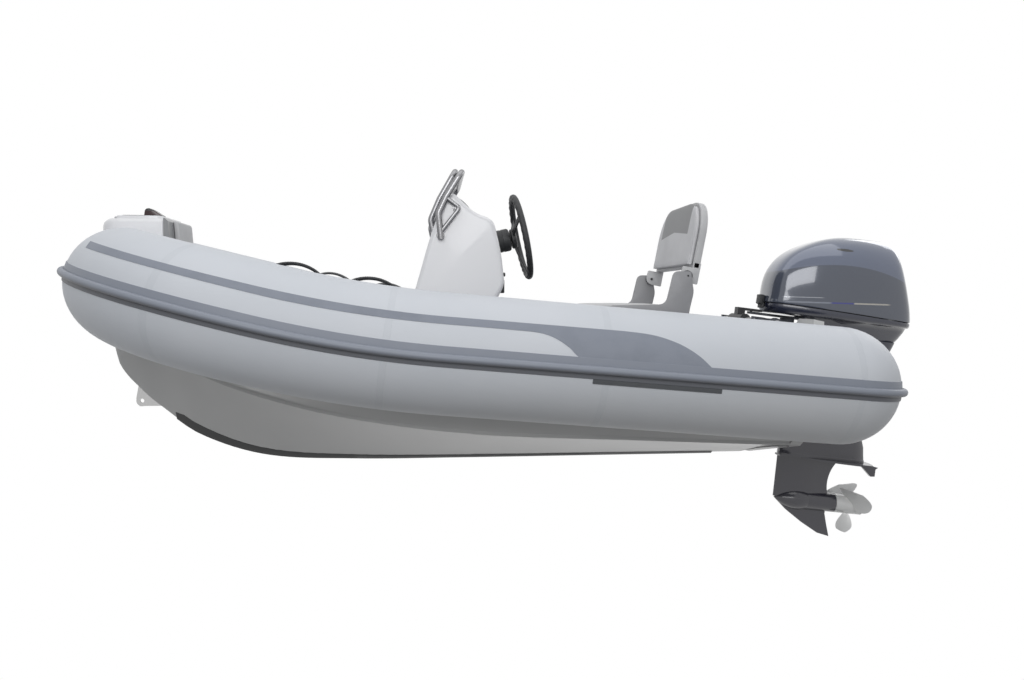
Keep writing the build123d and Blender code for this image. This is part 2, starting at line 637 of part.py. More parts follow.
# --- seat --------------------------------------------------------------------------------------------
cushion_z = seat_top_z - cushion_thickness
seat_base = Pos(mid(seat_front_x, seat_back_x), 0, mid(console_foot, cushion_z)) * Box(
    seat_front_x - seat_back_x, 2 * seat_base_half_width, cushion_z - console_foot)
seat_base = fillet(seat_base.edges().filter_by(Axis.Z), 20)
write("seat_base", seat_base)

cushion_back_x, cushion_overhang = -838.0, 14.0
cushion = Pos(mid(seat_front_x + cushion_overhang, cushion_back_x), 0, mid(cushion_z, seat_top_z)) * Box(
    seat_front_x + cushion_overhang - cushion_back_x, 2 * seat_base_half_width - 8, cushion_thickness)
cushion = fillet(cushion.edges().filter_by(Axis.Z), 24)
write("seat_cushion", cushion)

bracket_side = outline_of([
    (-879, 636), (-954, 636), (-959, 588), (-966, 550), (-946, 466), (-940, 400), (-600, 400),
    (-600, cushion_z), (-615, 494), (-846, 498),
]) - Pos(back_pivot_x, back_pivot_z) * Circle(pivot_pin_radius)
bracket = slab(bracket_side, seat_base_half_width, seat_base_half_width + bracket_thickness)
write("seat_brackets", both(bracket))

back_half_width = seat_base_half_width - back_gap
knob_radius, knob_gap = 23.0, 1.0
cheek_outer, cheek_inner = back_half_width, back_half_width - 12.0
knob = along_y(knob_radius, seat_base_half_width - cheek_outer - knob_gap, back_pivot_x,
               mid(seat_base_half_width, cheek_outer + knob_gap), back_pivot_z)
pin_end, pin_start = seat_base_half_width + bracket_thickness, cheek_inner - 6
knob += along_y(pivot_pin_radius, pin_end - pin_start, back_pivot_x, mid(pin_end, pin_start), back_pivot_z)
write("back_pivot_knobs", both(knob))

# the backrest's frame: x across, y up the back, z forward, from the pivot
lean_back = deg(back_lean)
back_frame = Plane(origin=(back_pivot_x, 0, back_pivot_z), x_dir=(0, 1, 0),
                   z_dir=(cos(lean_back), 0, sin(lean_back)))
back_low = (back_bottom_z - back_pivot_z) / cos(lean_back) + 3
back_high = (back_top_z - back_pivot_z) / cos(lean_back) + 4
back_face = 7.0                                  # the pad's face ahead of the pivot
shell_face = back_face - pad_thickness
shell_back = back_face - back_thickness


def back_shape(inset, corner):
    form = Pos(0, mid(back_low, back_high)) * Rectangle(2 * (back_half_width - inset),
                                                       back_high - back_low - 2 * inset)
    return fillet([v for v in form.vertices() if v.Y > mid(back_low, back_high)], corner).face()


shell_shape = back_shape(0.0, back_corner)
back_shell = back_frame * (Pos(0, 0, shell_back) * extrude(shell_shape, amount=shell_face - shell_back))
cheek_side = [(53.0, -27.0), (53.0, back_low + 20), (19.0, back_low + 20), (19.0, back_low - 3),
              (-22.0, back_low - 3), (-25.0, 0.0), (-18.0, -18.0), (0.0, -26.0)]
for side in (-1, 1):
    cheek_plane = Plane.YZ.offset(side * mid(cheek_inner, cheek_outer))
    cheek = extrude(cheek_plane * outline_of([(u, -w) for w, u in cheek_side]),
                    amount=(cheek_outer - cheek_inner) / 2, both=True)
    back_shell += back_frame * cheek
back_shell -= along_y(pivot_pin_radius + running_gap, big, back_pivot_x, 0, back_pivot_z)
write("backrest_shell", back_shell)
pad_margin = 10.0
pad_shape = back_shape(pad_margin, back_corner - pad_margin)
back_pad = back_frame * (Pos(0, 0, shell_face) * extrude(pad_shape, amount=pad_thickness))
write("backrest_pad", back_pad)

# --- outboard --------------------------------------------------------------------------------------
# the engine's own frame: origin on the tilt tube, z up along the leg
engine = Plane(origin=(pivot_x, 0, pivot_z), x_dir=(cos(deg(engine_trim)), 0, sin(deg(engine_trim))),
               z_dir=(-sin(deg(engine_trim)), 0, cos(deg(engine_trim))))


def upright(radius, low, high, x=0.0, y=0.0):
    return Pos(x, y, mid(low, high)) * Cylinder(radius, high - low)


# clamp plates either side, hooked over the transom, in the transom's plane: aft, up the rake
clamp_points = [(0, 250), (0, transom_top), (-transom_thickness, transom_top), (-transom_thickness, 440),
                (-60, 440), (-85, 540), (-74, 596), (20, 600), (50, 545), (45, 300), (25, 250)]
boss_radius = 26.0
side_plane = Plane(origin=transom_foot, x_dir=into_boat * -1, z_dir=(0, 1, 0))
clamp_side = side_plane * outline_of(clamp_points)
clamps = []
for side in (-1, 1):
    plate_at = Vector(0, side * (plate_gap + plate_thickness / 2), 0)
    plate = extrude(Pos(*plate_at) * clamp_side, amount=plate_thickness / 2, both=True)
    plate += along_y(boss_radius, plate_thickness, pivot_x, plate_at.Y, pivot_z)
    clamps.append(plate - along_y(tilt_tube_radius + running_gap, big, pivot_x, 0, pivot_z))
# the two plates are tied across the transom's aft face
tie = extrude(side_plane * Pos(10, 300) * Rectangle(20, 40), amount=plate_gap, both=True)
write("clamp_brackets", clamps[0] + clamps[1] + tie)

# swivel bracket: lugs on the tilt tube, a head and the steering tube
lug_radius, lug_gap = 22.0, 0.3
steer_shaft_radius = 14.0
swivel_top = 32.0
swivel_bottom = swivel_top - swivel_length
steer_x = -steer_setback
head_plan = outline_of([(0, plate_gap - lug_gap), (-34, plate_gap - lug_gap), (steer_x, 38), (steer_x, -38),
                        (-34, lug_gap - plate_gap), (0, lug_gap - plate_gap)])
head = extrude(Pos(0, 0, -lug_radius) * head_plan, amount=2 * lug_radius)
swivel = head + upright(swivel_radius, swivel_bottom, swivel_top, steer_x)
swivel += along_y(lug_radius, 2 * (plate_gap - lug_gap), 0, 0, 0)
rib = slab(outline_of([(-60, -22), (steer_x, -22), (steer_x, -330), (steer_x + 30, -330)]), -9, 9)
swivel = swivel + rib
swivel -= upright(steer_shaft_radius + running_gap, -big / 2, big / 2, steer_x)
swivel -= along_y(tilt_tube_radius, big, 0, 0, 0)
write("swivel_bracket", engine * swivel)
tilt_tube_half = 134.0
write("tilt_tube", engine * along_y(tilt_tube_radius, 2 * tilt_tube_half, 0, 0, 0))

# engine mounts: steering shaft, arm over the swivel tube, yoke under it
thrust_gap = 1.0
arm_low, arm_high = swivel_top + thrust_gap, swivel_top + thrust_gap + 11
arm_reach, pin_radius = 75.0, 6.0
leg_front, pan_front = -172.0, -168.0
yoke_low, yoke_high = swivel_bottom - thrust_gap - 24, swivel_bottom - thrust_gap
link_low, link_high = arm_high + 2, arm_high + 13
arm_plan = outline_of([(arm_reach + 14, 12), (steer_x + 20, 18), (steer_x, 34), (pan_front, 50), (pan_front, -50),
                       (steer_x, -34), (steer_x + 20, -18), (arm_reach + 14, -12)])
mount = extrude(Pos(0, 0, arm_low) * arm_plan, amount=arm_high - arm_low)
mount += upright(steer_shaft_radius, yoke_low, arm_high, steer_x)
mount += Pos(mid(steer_x + 34, leg_front), 0, mid(yoke_low, yoke_high)) * Box(
    steer_x + 34 - leg_front, 76, yoke_high - yoke_low)
mount += upright(pin_radius, arm_high - 1, link_high, arm_reach)
write("steering_bracket", engine * mount)

# drive-shaft housing
leg_rear, leg_top, leg_bottom = -548.0, -20.0, ventilation_plate_z + 8
leg_side = outline_of([(leg_front, leg_top), (leg_front, -430), (-140, -470), (-140, leg_bottom), (-560, leg_bottom),
                       (leg_rear, -520), (leg_rear + 60, -330), (leg_rear + 36, leg_top)])
leg_cross = outline_of([(62, leg_top), (62, -200), (46, -430), (42, leg_bottom),
                        (-42, leg_bottom), (-46, -430), (-62, -200), (-62, leg_top)])
leg = slab(leg_side, -big / 2, big / 2) & extrude(Plane.YZ.offset(-big / 2) * leg_cross, amount=big)
write("midsection", engine * leg)

# gearcase: ventilation plate, strut, torpedo and skeg
plate_low = ventilation_plate_z
nose_x, torpedo_rear = -150.0, propeller_x + hub_length / 2 + thrust_gap
plate_plan = make_face([
    Line((-140, 26), (-240, 34)), ThreePointArc((-240, 34), (-420, 84), (-560, 92)),
    ThreePointArc((-560, 92), (-584, 0), (-560, -92)),
    ThreePointArc((-560, -92), (-420, -84), (-240, -34)), Line((-240, -34), (-140, -26)),
    Line((-140, -26), (-140, 26)),
])
gearcase = extrude(Pos(0, 0, plate_low) * plate_plan, amount=leg_bottom - plate_low)
strut_half = 24.0
strut = make_face([
    Line((-140, plate_low + 2), (-145, -790)), Line((-145, -790), (-400, propeller_axis_z)),
    Line((-400, propeller_axis_z), (-398, -747)),
    ThreePointArc((-398, -747), (-392, -689), (-419, -615)), Line((-419, -615), (-430, plate_low + 2)),
    Line((-430, plate_low + 2), (-140, plate_low + 2)),
])
strut_plan = make_face([
    ThreePointArc((-139, 0), (-230, strut_half), (-320, strut_half)), Line((-320, strut_half), (-440, 7)),
    Line((-440, 7), (-440, -7)), Line((-440, -7), (-320, -strut_half)),
    ThreePointArc((-320, -strut_half), (-230, -strut_half), (-139, 0)),
])
gearcase += slab(strut, -big / 2, big / 2) & extrude(Pos(0, 0, -big / 2) * strut_plan, amount=big)
torpedo_line = make_face([
    Line((nose_x, 0), (torpedo_rear, 0)), Line((torpedo_rear, 0), (torpedo_rear, hub_radius)),
    Line((torpedo_rear, hub_radius), (-300, hub_radius)),
    ThreePointArc((-300, hub_radius), (-190, hub_radius * 0.7), (nose_x, 0)),
])
torpedo = Pos(0, 0, propeller_axis_z) * revolve(Plane.XZ * torpedo_line, axis=Axis.X)
gearcase += torpedo
skeg_side = outline_of([(-149, propeller_axis_z), (-213, -848), (-296, -900), (-379, -943), (-438, -954), (-420, -902),
                        (-404, -850), (-404, propeller_axis_z)])
gearcase += slab(skeg_side, -5, 5)
stub_radius, stub_length = 11.0, 44.0
gearcase -= Pos(torpedo_rear + stub_length / 2, 0, propeller_axis_z) * Rot(0, 90, 0) * Cylinder(
    stub_radius + running_gap, stub_length + 4)
write("gearcase", engine * gearcase)
tab_top = plate_low
trim_tab = slab(outline_of([(-536, tab_top), (-578, tab_top), (-634, -609), (-622, -618), (-622, -652), (-602, -654),
                            (-560, -618)]), -8, 8)
write("trim_tab", engine * trim_tab)

# propeller: hub with its stub shaft and three twisted blades
blade_count, blade_thickness = 3, 9.0
blade_stations = [(hub_radius - 12, 96.0, 52.0), (78.0, 124.0, 38.0), (112.0, 112.0, 30.0),
                  (propeller_radius + 6, 62.0, 26.0)]       # radius, chord, pitch angle
hub_centre = Pos(propeller_x, 0, propeller_axis_z)
sections = [(Pos(0, 0, r) * Rot(0, 0, -pitch) * Rectangle(blade_thickness, chord)).face()
            for r, chord, pitch in blade_stations]
blade = loft(sections, ruled=True)
blade &= Rot(0, 90, 0) * Cylinder(propeller_radius, big)
propeller = Rot(0, 90, 0) * Cylinder(hub_radius, hub_length)
for number in range(blade_count):
    propeller += Rot(180 + number * 360 / blade_count, 0, 0) * blade
bore_length = hub_length * 0.6
propeller -= Pos(-hub_length / 2 - 1 + bore_length / 2, 0, 0) * Rot(0, 90, 0) * (
    Cylinder(hub_radius - 9, bore_length) - Cylinder(16, bore_length))
propeller += Pos(hub_length / 2 + stub_length / 2, 0, 0) * Rot(0, 90, 0) * Cylinder(stub_radius, stub_length)
write("propeller", engine * hub_centre * propeller)

# cowl and pan meet at a seam that falls aft
seam_fore, seam_aft = (26.0, 94.0), (-650.0, 74.0)
cowl_foot = 20.0


def cowl_form(inset):
    top = make_face([
        Line((26, cowl_foot), (22, 128)), ThreePointArc((22, 128), (4, 250), (-66, 342)),
        ThreePointArc((-66, 342), (-206, 411), (-385, 436)), Line((-385, 436), (-490, 438)),
        ThreePointArc((-490, 438), (-536, 404), (-560, 345)),
        ThreePointArc((-560, 345), (-608, 204), (-638, cowl_foot)), Line((-638, cowl_foot), (26, cowl_foot)),
    ])
    plan = make_face([
        ThreePointArc((26, 60), (3, 108), (-66, 144)), ThreePointArc((-66, 144), (-300, cowl_half_width), (-570, 160)),
        ThreePointArc((-570, 160), (-622, 130), (-640, 70)), Line((-640, 70), (-640, -70)),
        ThreePointArc((-640, -70), (-622, -130), (-570, -160)),
        ThreePointArc((-570, -160), (-300, -cowl_half_width), (-66, -144)),
        ThreePointArc((-66, -144), (3, -108), (26, -60)), Line((26, -60), (26, 60)),
    ])
    cross = make_face([
        Line((187, cowl_foot), (183, 230)), ThreePointArc((183, 230), (165, 350), (110, 412)),
        ThreePointArc((110, 412), (60, 434), (0, 438)), ThreePointArc((0, 438), (-60, 434), (-110, 412)),
        ThreePointArc((-110, 412), (-165, 350), (-183, 230)), Line((-183, 230), (-187, cowl_foot)),
        Line((-187, cowl_foot), (187, cowl_foot)),
    ])
    if inset:
        top, plan, cross = (offset(face, amount=-inset) for face in (top, plan, cross))
    lengthwise = slab(top, -big / 2, big / 2)
    from_above = extrude(Pos(0, 0, -big / 2) * plan, amount=big)
    return lengthwise & from_above & extrude(Plane.YZ.offset(-big / 2) * cross, amount=big)


below_seam = slab(outline_of([(big / 2, -big / 2), (big / 2, seam_fore[1]), seam_fore, seam_aft,
                             (-big / 2, seam_aft[1]), (-big / 2, -big / 2)]), -big / 2, big / 2)
cowl = cowl_form(0) - cowl_form(cowl_wall) - below_seam
cowl = max(cowl.solids(), key=lambda s: s.volume)
write("cowl", engine * cowl)

pan_inset = 3.0
pan_under, pan_lip = 50.0, 66.0
pan_side = outline_of([(seam_fore[0] - pan_inset, 100), (seam_fore[0] - 5, 78), (seam_fore[0] - 16, pan_under),
                       (pan_front, pan_under), (pan_front, leg_top), (-480, leg_top), (-520, -78), (-586, -78),
                       (-597, -44), (-610, -12), (-628, 20), (-636, 48), (-637, 100)])
pan_cross = outline_of([(180, 100), (180, pan_lip), (166, pan_under), (82, leg_top), (66, -80), (-66, -80),
                        (-82, leg_top), (-166, pan_under), (-180, pan_lip), (-180, 100)])
pan_plan = make_face([
    ThreePointArc((23, 57), (0, 104), (-66, 140)), ThreePointArc((-66, 140), (-300, 181), (-570, 156)),
    ThreePointArc((-570, 156), (-619, 126), (-636, 67)), Line((-636, 67), (-636, -67)),
    ThreePointArc((-636, -67), (-619, -126), (-570, -156)), ThreePointArc((-570, -156), (-300, -181), (-66, -140)),
    ThreePointArc((-66, -140), (0, -104), (23, -57)), Line((23, -57), (23, 57)),
])
pan = slab(pan_side, -big / 2, big / 2) & extrude(Plane.YZ.offset(-big / 2) * pan_cross, amount=big)
pan &= extrude(Pos(0, 0, -big / 2) * pan_plan, amount=big)
pan &= below_seam
pan -= leg
pan = max(pan.solids(), key=lambda s: s.volume)
write("engine_pan", engine * pan)


def seam_z(x):
    return seam_fore[1] + (x - seam_fore[0]) * (seam_aft[1] - seam_fore[1]) / (seam_aft[0] - seam_fore[0])


power_fore, power_aft, power_top, power_half = -125.0, -470.0, 325.0, 120.0
powerhead = slab(outline_of([(power_fore, seam_z(power_fore)), (power_aft, seam_z(power_aft)),
                             (power_aft, power_top), (power_fore, power_top)]), -power_half, power_half)
write("powerhead", engine * powerhead)

latch_x = seam_fore[0]
latch = Pos(latch_x, 0, 78) * Box(22, 60, 24) + Pos(latch_x + 10, 0, 104) * Box(28, 44, 48)
latch = latch - cowl - pan
latch = max(latch.solids(), key=lambda s: s.volume)
write("cowl_latch", engine * latch)

# steering cylinder ahead of the tilt tube: a barrel that slides along a fixed rod
rod_x, rod_z, rod_radius, rod_half = 128.0, 5.0, 9.0, 190.0
barrel_radius, barrel_half = 24.0, 80.0
rod = along_y(rod_radius, 2 * rod_half, rod_x, 0, rod_z)
write("steering_rod", engine * rod)
arm_inner, arm_outer = 118.0, 130.0
arm_half = rod_z + rod_radius + 5
arms = []
for side in (-1, 1):
    inner, outer = side * arm_inner, side * arm_outer
    plan = outline_of([(0, inner), (0, outer), (rod_x - 83, outer), (rod_x - 30, side * 198),
                       (rod_x + 14, side * 198), (rod_x + 14, side * 184), (rod_x - 24, side * 184),
                       (rod_x - 76, inner)])
    arm = extrude(Pos(0, 0, -arm_half) * plan, amount=2 * arm_half)
    arm += along_y(tilt_tube_radius + 8, arm_outer - arm_inner, 0, mid(inner, outer), 0)
    arm = arm - along_y(tilt_tube_radius, big, 0, 0, 0) - along_y(rod_radius, big, rod_x, 0, rod_z)
    arms.append(arm)
write("cylinder_arms", *[engine * arm for arm in arms])
slot_reach = 36.0
barrel = along_y(barrel_radius, 2 * barrel_half, rod_x, 0, rod_z)
barrel -= along_y(rod_radius + running_gap, big, rod_x, 0, rod_z)
link_end, link_width = 30.0, 44.0
link = Pos(mid(link_end, rod_x), 0, mid(link_low, link_high)) * Box(
    rod_x - link_end, link_width, link_high - link_low)
link += Pos(rod_x, 0, mid(rod_z, link_high)) * Box(34, link_width, link_high - rod_z)
link -= Pos(mid(arm_reach - slot_reach, arm_reach), 0, mid(link_low, link_high)) * Box(
    slot_reach + 2 * (pin_radius + 3), 2 * (pin_radius + 3), 40)
link -= along_y(barrel_radius, big, rod_x, 0, rod_z)
write("steering_barrel", engine * (barrel + link))
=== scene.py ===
import bpy, bmesh
from math import asin, cos, hypot, pi, radians, sin, sqrt, tan
from mathutils import Matrix, Vector


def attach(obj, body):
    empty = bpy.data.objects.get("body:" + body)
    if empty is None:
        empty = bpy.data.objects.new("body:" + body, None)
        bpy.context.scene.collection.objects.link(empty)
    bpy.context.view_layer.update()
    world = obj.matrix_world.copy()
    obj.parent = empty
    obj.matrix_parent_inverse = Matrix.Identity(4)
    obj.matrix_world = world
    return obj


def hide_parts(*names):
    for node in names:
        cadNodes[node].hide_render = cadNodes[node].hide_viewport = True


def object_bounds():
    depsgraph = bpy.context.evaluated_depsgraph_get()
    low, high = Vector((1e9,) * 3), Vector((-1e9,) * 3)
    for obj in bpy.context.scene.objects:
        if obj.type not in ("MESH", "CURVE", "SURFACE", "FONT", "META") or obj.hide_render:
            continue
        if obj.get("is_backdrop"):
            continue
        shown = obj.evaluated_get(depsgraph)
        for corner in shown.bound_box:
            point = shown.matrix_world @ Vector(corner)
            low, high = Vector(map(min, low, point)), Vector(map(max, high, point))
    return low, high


# Looks of a small rigid-hulled inflatable with console, folding seat and outboard. Metres, +X to the bow.
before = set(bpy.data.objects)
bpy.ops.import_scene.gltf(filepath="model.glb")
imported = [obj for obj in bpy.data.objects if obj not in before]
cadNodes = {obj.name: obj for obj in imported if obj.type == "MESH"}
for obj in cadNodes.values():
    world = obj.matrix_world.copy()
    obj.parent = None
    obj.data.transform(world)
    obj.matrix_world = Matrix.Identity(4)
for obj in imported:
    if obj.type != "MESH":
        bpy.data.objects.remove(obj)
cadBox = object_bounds()
print("frame loaded:", len(cadNodes), "nodes")


class Wire:  # a socket that takes part in arithmetic
    def __init__(self, graph, socket):
        self.graph, self.socket = graph, socket

    def math(self, operation, *values):
        return self.graph.node("ShaderNodeMath", {"operation": operation}, dict(enumerate(values)))

    def __add__(self, other): return self.math("ADD", self, other)
    def __radd__(self, other): return self.math("ADD", other, self)
    def __sub__(self, other): return self.math("SUBTRACT", self, other)
    def __rsub__(self, other): return self.math("SUBTRACT", other, self)
    def __mul__(self, other): return self.math("MULTIPLY", self, other)
    def __rmul__(self, other): return self.math("MULTIPLY", other, self)
    def __lt__(self, other): return self.math("LESS_THAN", self, other)
    def sine(self): return self.math("SINE", self)
    def absolute(self): return self.math("ABSOLUTE", self)
    def power(self, exponent): return self.math("POWER", self, exponent)
    def clamp(self): return self.math("MINIMUM", self.math("MAXIMUM", self, 0.0), 1.0)

    def ramp(self, low, high):  # 0 below low, 1 above high, smooth between
        return self.graph.node("ShaderNodeMapRange", {"interpolation_type": "SMOOTHSTEP"},
                               {"Value": self, "From Min": low, "From Max": high})


class Graph:  # the nodes of one material
    def __init__(self, name):
        self.material = bpy.data.materials.new(name)
        self.material.use_nodes = True
        self.tree = self.material.node_tree
        self.shader = self.tree.nodes["Principled BSDF"]
        self.coords = self.node("ShaderNodeTexCoord", {}, {}, "Object")
        self.uv = Wire(self, self.coords.socket.node.outputs["UV"])

    def node(self, kind, settings, sockets, out=0):
        made = self.tree.nodes.new(kind)
        for key, value in settings.items():
            setattr(made, key, value)
        for key, value in sockets.items():
            if isinstance(value, Wire):
                self.tree.links.new(value.socket, made.inputs[key])
            else:
                made.inputs[key].default_value = value
        return Wire(self, made.outputs[out])

    def noise(self, scale, detail=3.0, roughness=0.5, coords=None):
        return self.node("ShaderNodeTexNoise", {}, {"Vector": coords or self.coords, "Scale": scale,
                                                   "Detail": detail, "Roughness": roughness}, "Fac")

    def cells(self, scale):
        return self.node("ShaderNodeTexVoronoi", {}, {"Vector": self.coords, "Scale": scale}, "Distance")

    def moved(self, location=(0, 0, 0), rotation=(0, 0, 0), scale=(1, 1, 1)):
        return self.node("ShaderNodeMapping", {}, {"Vector": self.coords, "Location": location,
                                                   "Rotation": rotation, "Scale": scale})

    def split(self, vector, axis):
        return self.node("ShaderNodeSeparateXYZ", {}, {"Vector": vector}, axis)

    def mix(self, factor, first, second):
        colour = [value if isinstance(value, Wire) else (*value, 1.0) for value in (first, second)]
        return self.node("ShaderNodeMix", {"data_type": "RGBA"}, {0: factor, 6: colour[0], 7: colour[1]}, 2)

    def bump(self, height, distance, strength=1.0, below=None):
        sockets = {"Height": height, "Distance": distance, "Strength": strength}
        if below:
            sockets["Normal"] = below
        return self.node("ShaderNodeBump", {}, sockets)

    def finish(self, **sockets):  # socket names with spaces dropped
        names = {key.name.replace(" ", ""): key.name for key in self.shader.inputs}
        for key, value in sockets.items():
            target = self.shader.inputs[names[key]]
            if isinstance(value, Wire):
                self.tree.links.new(value.socket, target)
            else:
                target.default_value = (*value, 1.0) if isinstance(value, tuple) else value
        return self.material


def shapedGrid(columns, rows, place, uvSize=(1.0, 1.0)):  # a grid whose u and v run from 0 to 1
    bm = bmesh.new()
    bmesh.ops.create_grid(bm, x_segments=columns, y_segments=rows, size=1)
    uv = bm.loops.layers.uv.new("UVMap")
    for face in bm.faces:
        for loop in face.loops:
            loop[uv].uv = ((loop.vert.co.x + 1) / 2 * uvSize[0], (loop.vert.co.y + 1) / 2 * uvSize[1])
    for vert in bm.verts:
        vert.co = place((vert.co.x + 1) / 2, (vert.co.y + 1) / 2)
    return bm


def outward(bm):
    bmesh.ops.recalc_face_normals(bm, faces=bm.faces)
    return bm


def shifted(bm, step):
    bmesh.ops.translate(bm, verts=bm.verts, vec=step)
    return bm


def turned(bm, matrix):
    bmesh.ops.transform(bm, matrix=matrix, verts=bm.verts)
    return bm


def axes(origin, x, y, z):  # matrix with these three axes as its columns
    turn = Matrix((x, y, z)).transposed().to_4x4()
    turn.translation = origin
    return turn


def corners(x0, x1, z0, z1):
    return [(x0, z0), (x1, z0), (x1, z1), (x0, z1)]


def flatUv(bm, scale=1.0):  # UVs from the X and Y of each corner
    layer = bm.loops.layers.uv.active or bm.loops.layers.uv.new("UVMap")
    for face in bm.faces:
        for loop in face.loops:
            loop[layer].uv = (loop.vert.co.x / scale, loop.vert.co.y / scale)


def above(bm, z):  # the edges that lie above a height
    return [e for e in bm.edges if e.verts[0].co.z > z and e.verts[1].co.z > z]


def closeUp(bm, distance=1e-5):  # merges what meets, closes holes and turns the faces outwards
    bmesh.ops.remove_doubles(bm, verts=bm.verts, dist=distance)
    bmesh.ops.dissolve_degenerate(bm, edges=bm.edges, dist=1e-6)
    bmesh.ops.holes_fill(bm, edges=[e for e in bm.edges if e.is_boundary], sides=0)
    return outward(bm)


def walled(bm, thickness, lidZ=None):  # gives an open skin a wall, its hole above lidZ filled first
    bmesh.ops.remove_doubles(bm, verts=bm.verts, dist=1e-5)
    if lidZ:
        bmesh.ops.holes_fill(bm, edges=[e for e in bm.edges if e.is_boundary and e.verts[0].co.z > lidZ],
                             sides=0)
    bmesh.ops.solidify(outward(bm), geom=bm.faces[:], thickness=thickness)
    return bm


def mirrored(bm):  # adds the starboard half
    geom = bm.verts[:] + bm.edges[:] + bm.faces[:]
    bmesh.ops.mirror(bm, geom=geom, axis="Y", merge_dist=1e-5, matrix=Matrix.Identity(4))
    return bm


def bevelled(bm, width, segments=3, edges=None):
    bmesh.ops.bevel(bm, geom=edges or [e for e in bm.edges if e.calc_face_angle(0) > radians(30)],
                    offset=width, segments=segments, profile=0.5, material=-1, affect="EDGES")
    return bm


def prism(outline, low, high, plane="XZ"):  # an outline in one plane, extruded between two heights
    bm = bmesh.new()
    points = {"XZ": lambda a, b: Vector((a, low, b)), "XY": lambda a, b: Vector((a, b, low)),
              "YZ": lambda a, b: Vector((low, a, b))}[plane]
    face = bm.faces.new([bm.verts.new(points(a, b)) for a, b in outline])
    grown = bmesh.ops.extrude_face_region(bm, geom=[face])["geom"]
    shift = {"XZ": Vector((0, high - low, 0)), "XY": Vector((0, 0, high - low)),
             "YZ": Vector((high - low, 0, 0))}
    bmesh.ops.translate(bm, verts=[v for v in grown if isinstance(v, bmesh.types.BMVert)], vec=shift[plane])
    return outward(bm)


def join(*parts):
    whole = parts[0]
    for part in parts[1:]:
        spare = bpy.data.meshes.new("spare")
        part.to_mesh(spare)
        whole.from_mesh(spare)
        part.free()
        bpy.data.meshes.remove(spare)
    return whole


def piece(name, bm, body, material, crease=35, replaces=(), turn=None):
    if turn:
        turned(bm, turn)
    for face in bm.faces:
        face.smooth = True
    for edge in bm.edges:
        edge.smooth = len(edge.link_faces) != 2 or edge.calc_face_angle(0) < radians(crease)
    mesh = bpy.data.meshes.new(name)
    bm.to_mesh(mesh)
    bm.free()
    made = bpy.data.objects.new(name, mesh)
    bpy.context.scene.collection.objects.link(made)
    mesh.materials.append(material)
    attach(made, body)
    if replaces:
        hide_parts(*replaces)
    return made


def along(table, x, column):  # smooth curve through the rows of a table, read at x
    rows = sorted(table)
    k = max(0, min(len(rows) - 2, sum(row[0] <= x for row in rows) - 1))
    x0, x1 = rows[k][0], rows[k + 1][0]

    def slope(i):
        before, after = max(i - 1, 0), min(i + 1, len(rows) - 1)
        return (rows[after][column] - rows[before][column]) / (rows[after][0] - rows[before][0])
    t, step = (x - x0) / (x1 - x0), x1 - x0
    y0, y1 = rows[k][column], rows[k + 1][column]
    return ((2 * t**3 - 3 * t**2 + 1) * y0 + (t**3 - 2 * t**2 + t) * step * slope(k)
            + (3 * t**2 - 2 * t**3) * y1 + (t**3 - t**2) * step * slope(k + 1))


def lerp(a, b, t):
    return a + (b - a) * t


def clipped(value):
    return max(-1, min(1, value))


# camera, lamps and a pale floor
view = dict(place=(0.132, 3.78, 0.52), sternward=5.5, down=2.76, lens=29.88)
camera = bpy.data.objects.new("camera", bpy.data.cameras.new("camera"))
bpy.context.scene.collection.objects.link(camera)
camera.data.lens, camera.data.sensor_width = view["lens"], 36
camera.location = view["place"]
camera.rotation_euler = (radians(90 - view["down"]), 0, radians(180 - view["sternward"]))
bpy.context.scene.camera = camera


def backdrop(tree, lit, plain, output):  # seen straight, mirrored or through glass the plain shader shows
    path = tree.nodes.new("ShaderNodeLightPath")
    seen = path.outputs["Is Camera Ray"]
    for name in ("Is Glossy Ray", "Is Transmission Ray"):
        add = tree.nodes.new("ShaderNodeMath")
        add.operation, add.use_clamp = "ADD", True
        tree.links.new(seen, add.inputs[0])
        tree.links.new(path.outputs[name], add.inputs[1])
        seen = add.outputs[0]
    blend = tree.nodes.new("ShaderNodeMixShader")
    tree.links.new(seen, blend.inputs["Fac"])
    tree.links.new(lit.outputs[0], blend.inputs[1])
    tree.links.new(plain.outputs[0], blend.inputs[2])
    tree.links.new(blend.outputs[0], tree.nodes[output].inputs["Surface"])


studio = dict(floorZ=-1.02, sky=0.42, ground=0.26)
world = bpy.data.worlds.new("world")
bpy.context.scene.world = world
world.use_nodes = True
skyTree = world.node_tree
sky = skyTree.nodes["Background"]
sky.inputs["Color"].default_value = (0.93, 0.96, 1.0, 1)
sky.inputs["Strength"].default_value = studio["sky"]
white = skyTree.nodes.new("ShaderNodeBackground")
white.inputs["Color"].default_value = (1, 1, 1, 1)
backdrop(skyTree, sky, white, "World Output")


def areaLamp(name, place, aim, size, power):
    lamp = bpy.data.objects.new(name, bpy.data.lights.new(name, "AREA"))
    lamp.data.shape, lamp.data.size, lamp.data.size_y = "RECTANGLE", size[0], size[1]
    lamp.data.energy = power
    lamp.location = place
    lamp.rotation_euler = (Vector(aim) - Vector(place)).to_track_quat("-Z", "Y").to_euler()
    bpy.context.scene.collection.objects.link(lamp)


areaLamp("ceiling", (0, 0.6, 4.2), (0, 0, 0), (6, 3.5), 60)
areaLamp("front", (0.5, 5.0, 2.4), (-0.2, 0, 0.2), (4, 2), 108)
areaLamp("stern", (-4.5, -2.0, 2.5), (-1, 0, 0.2), (2, 2), 25)

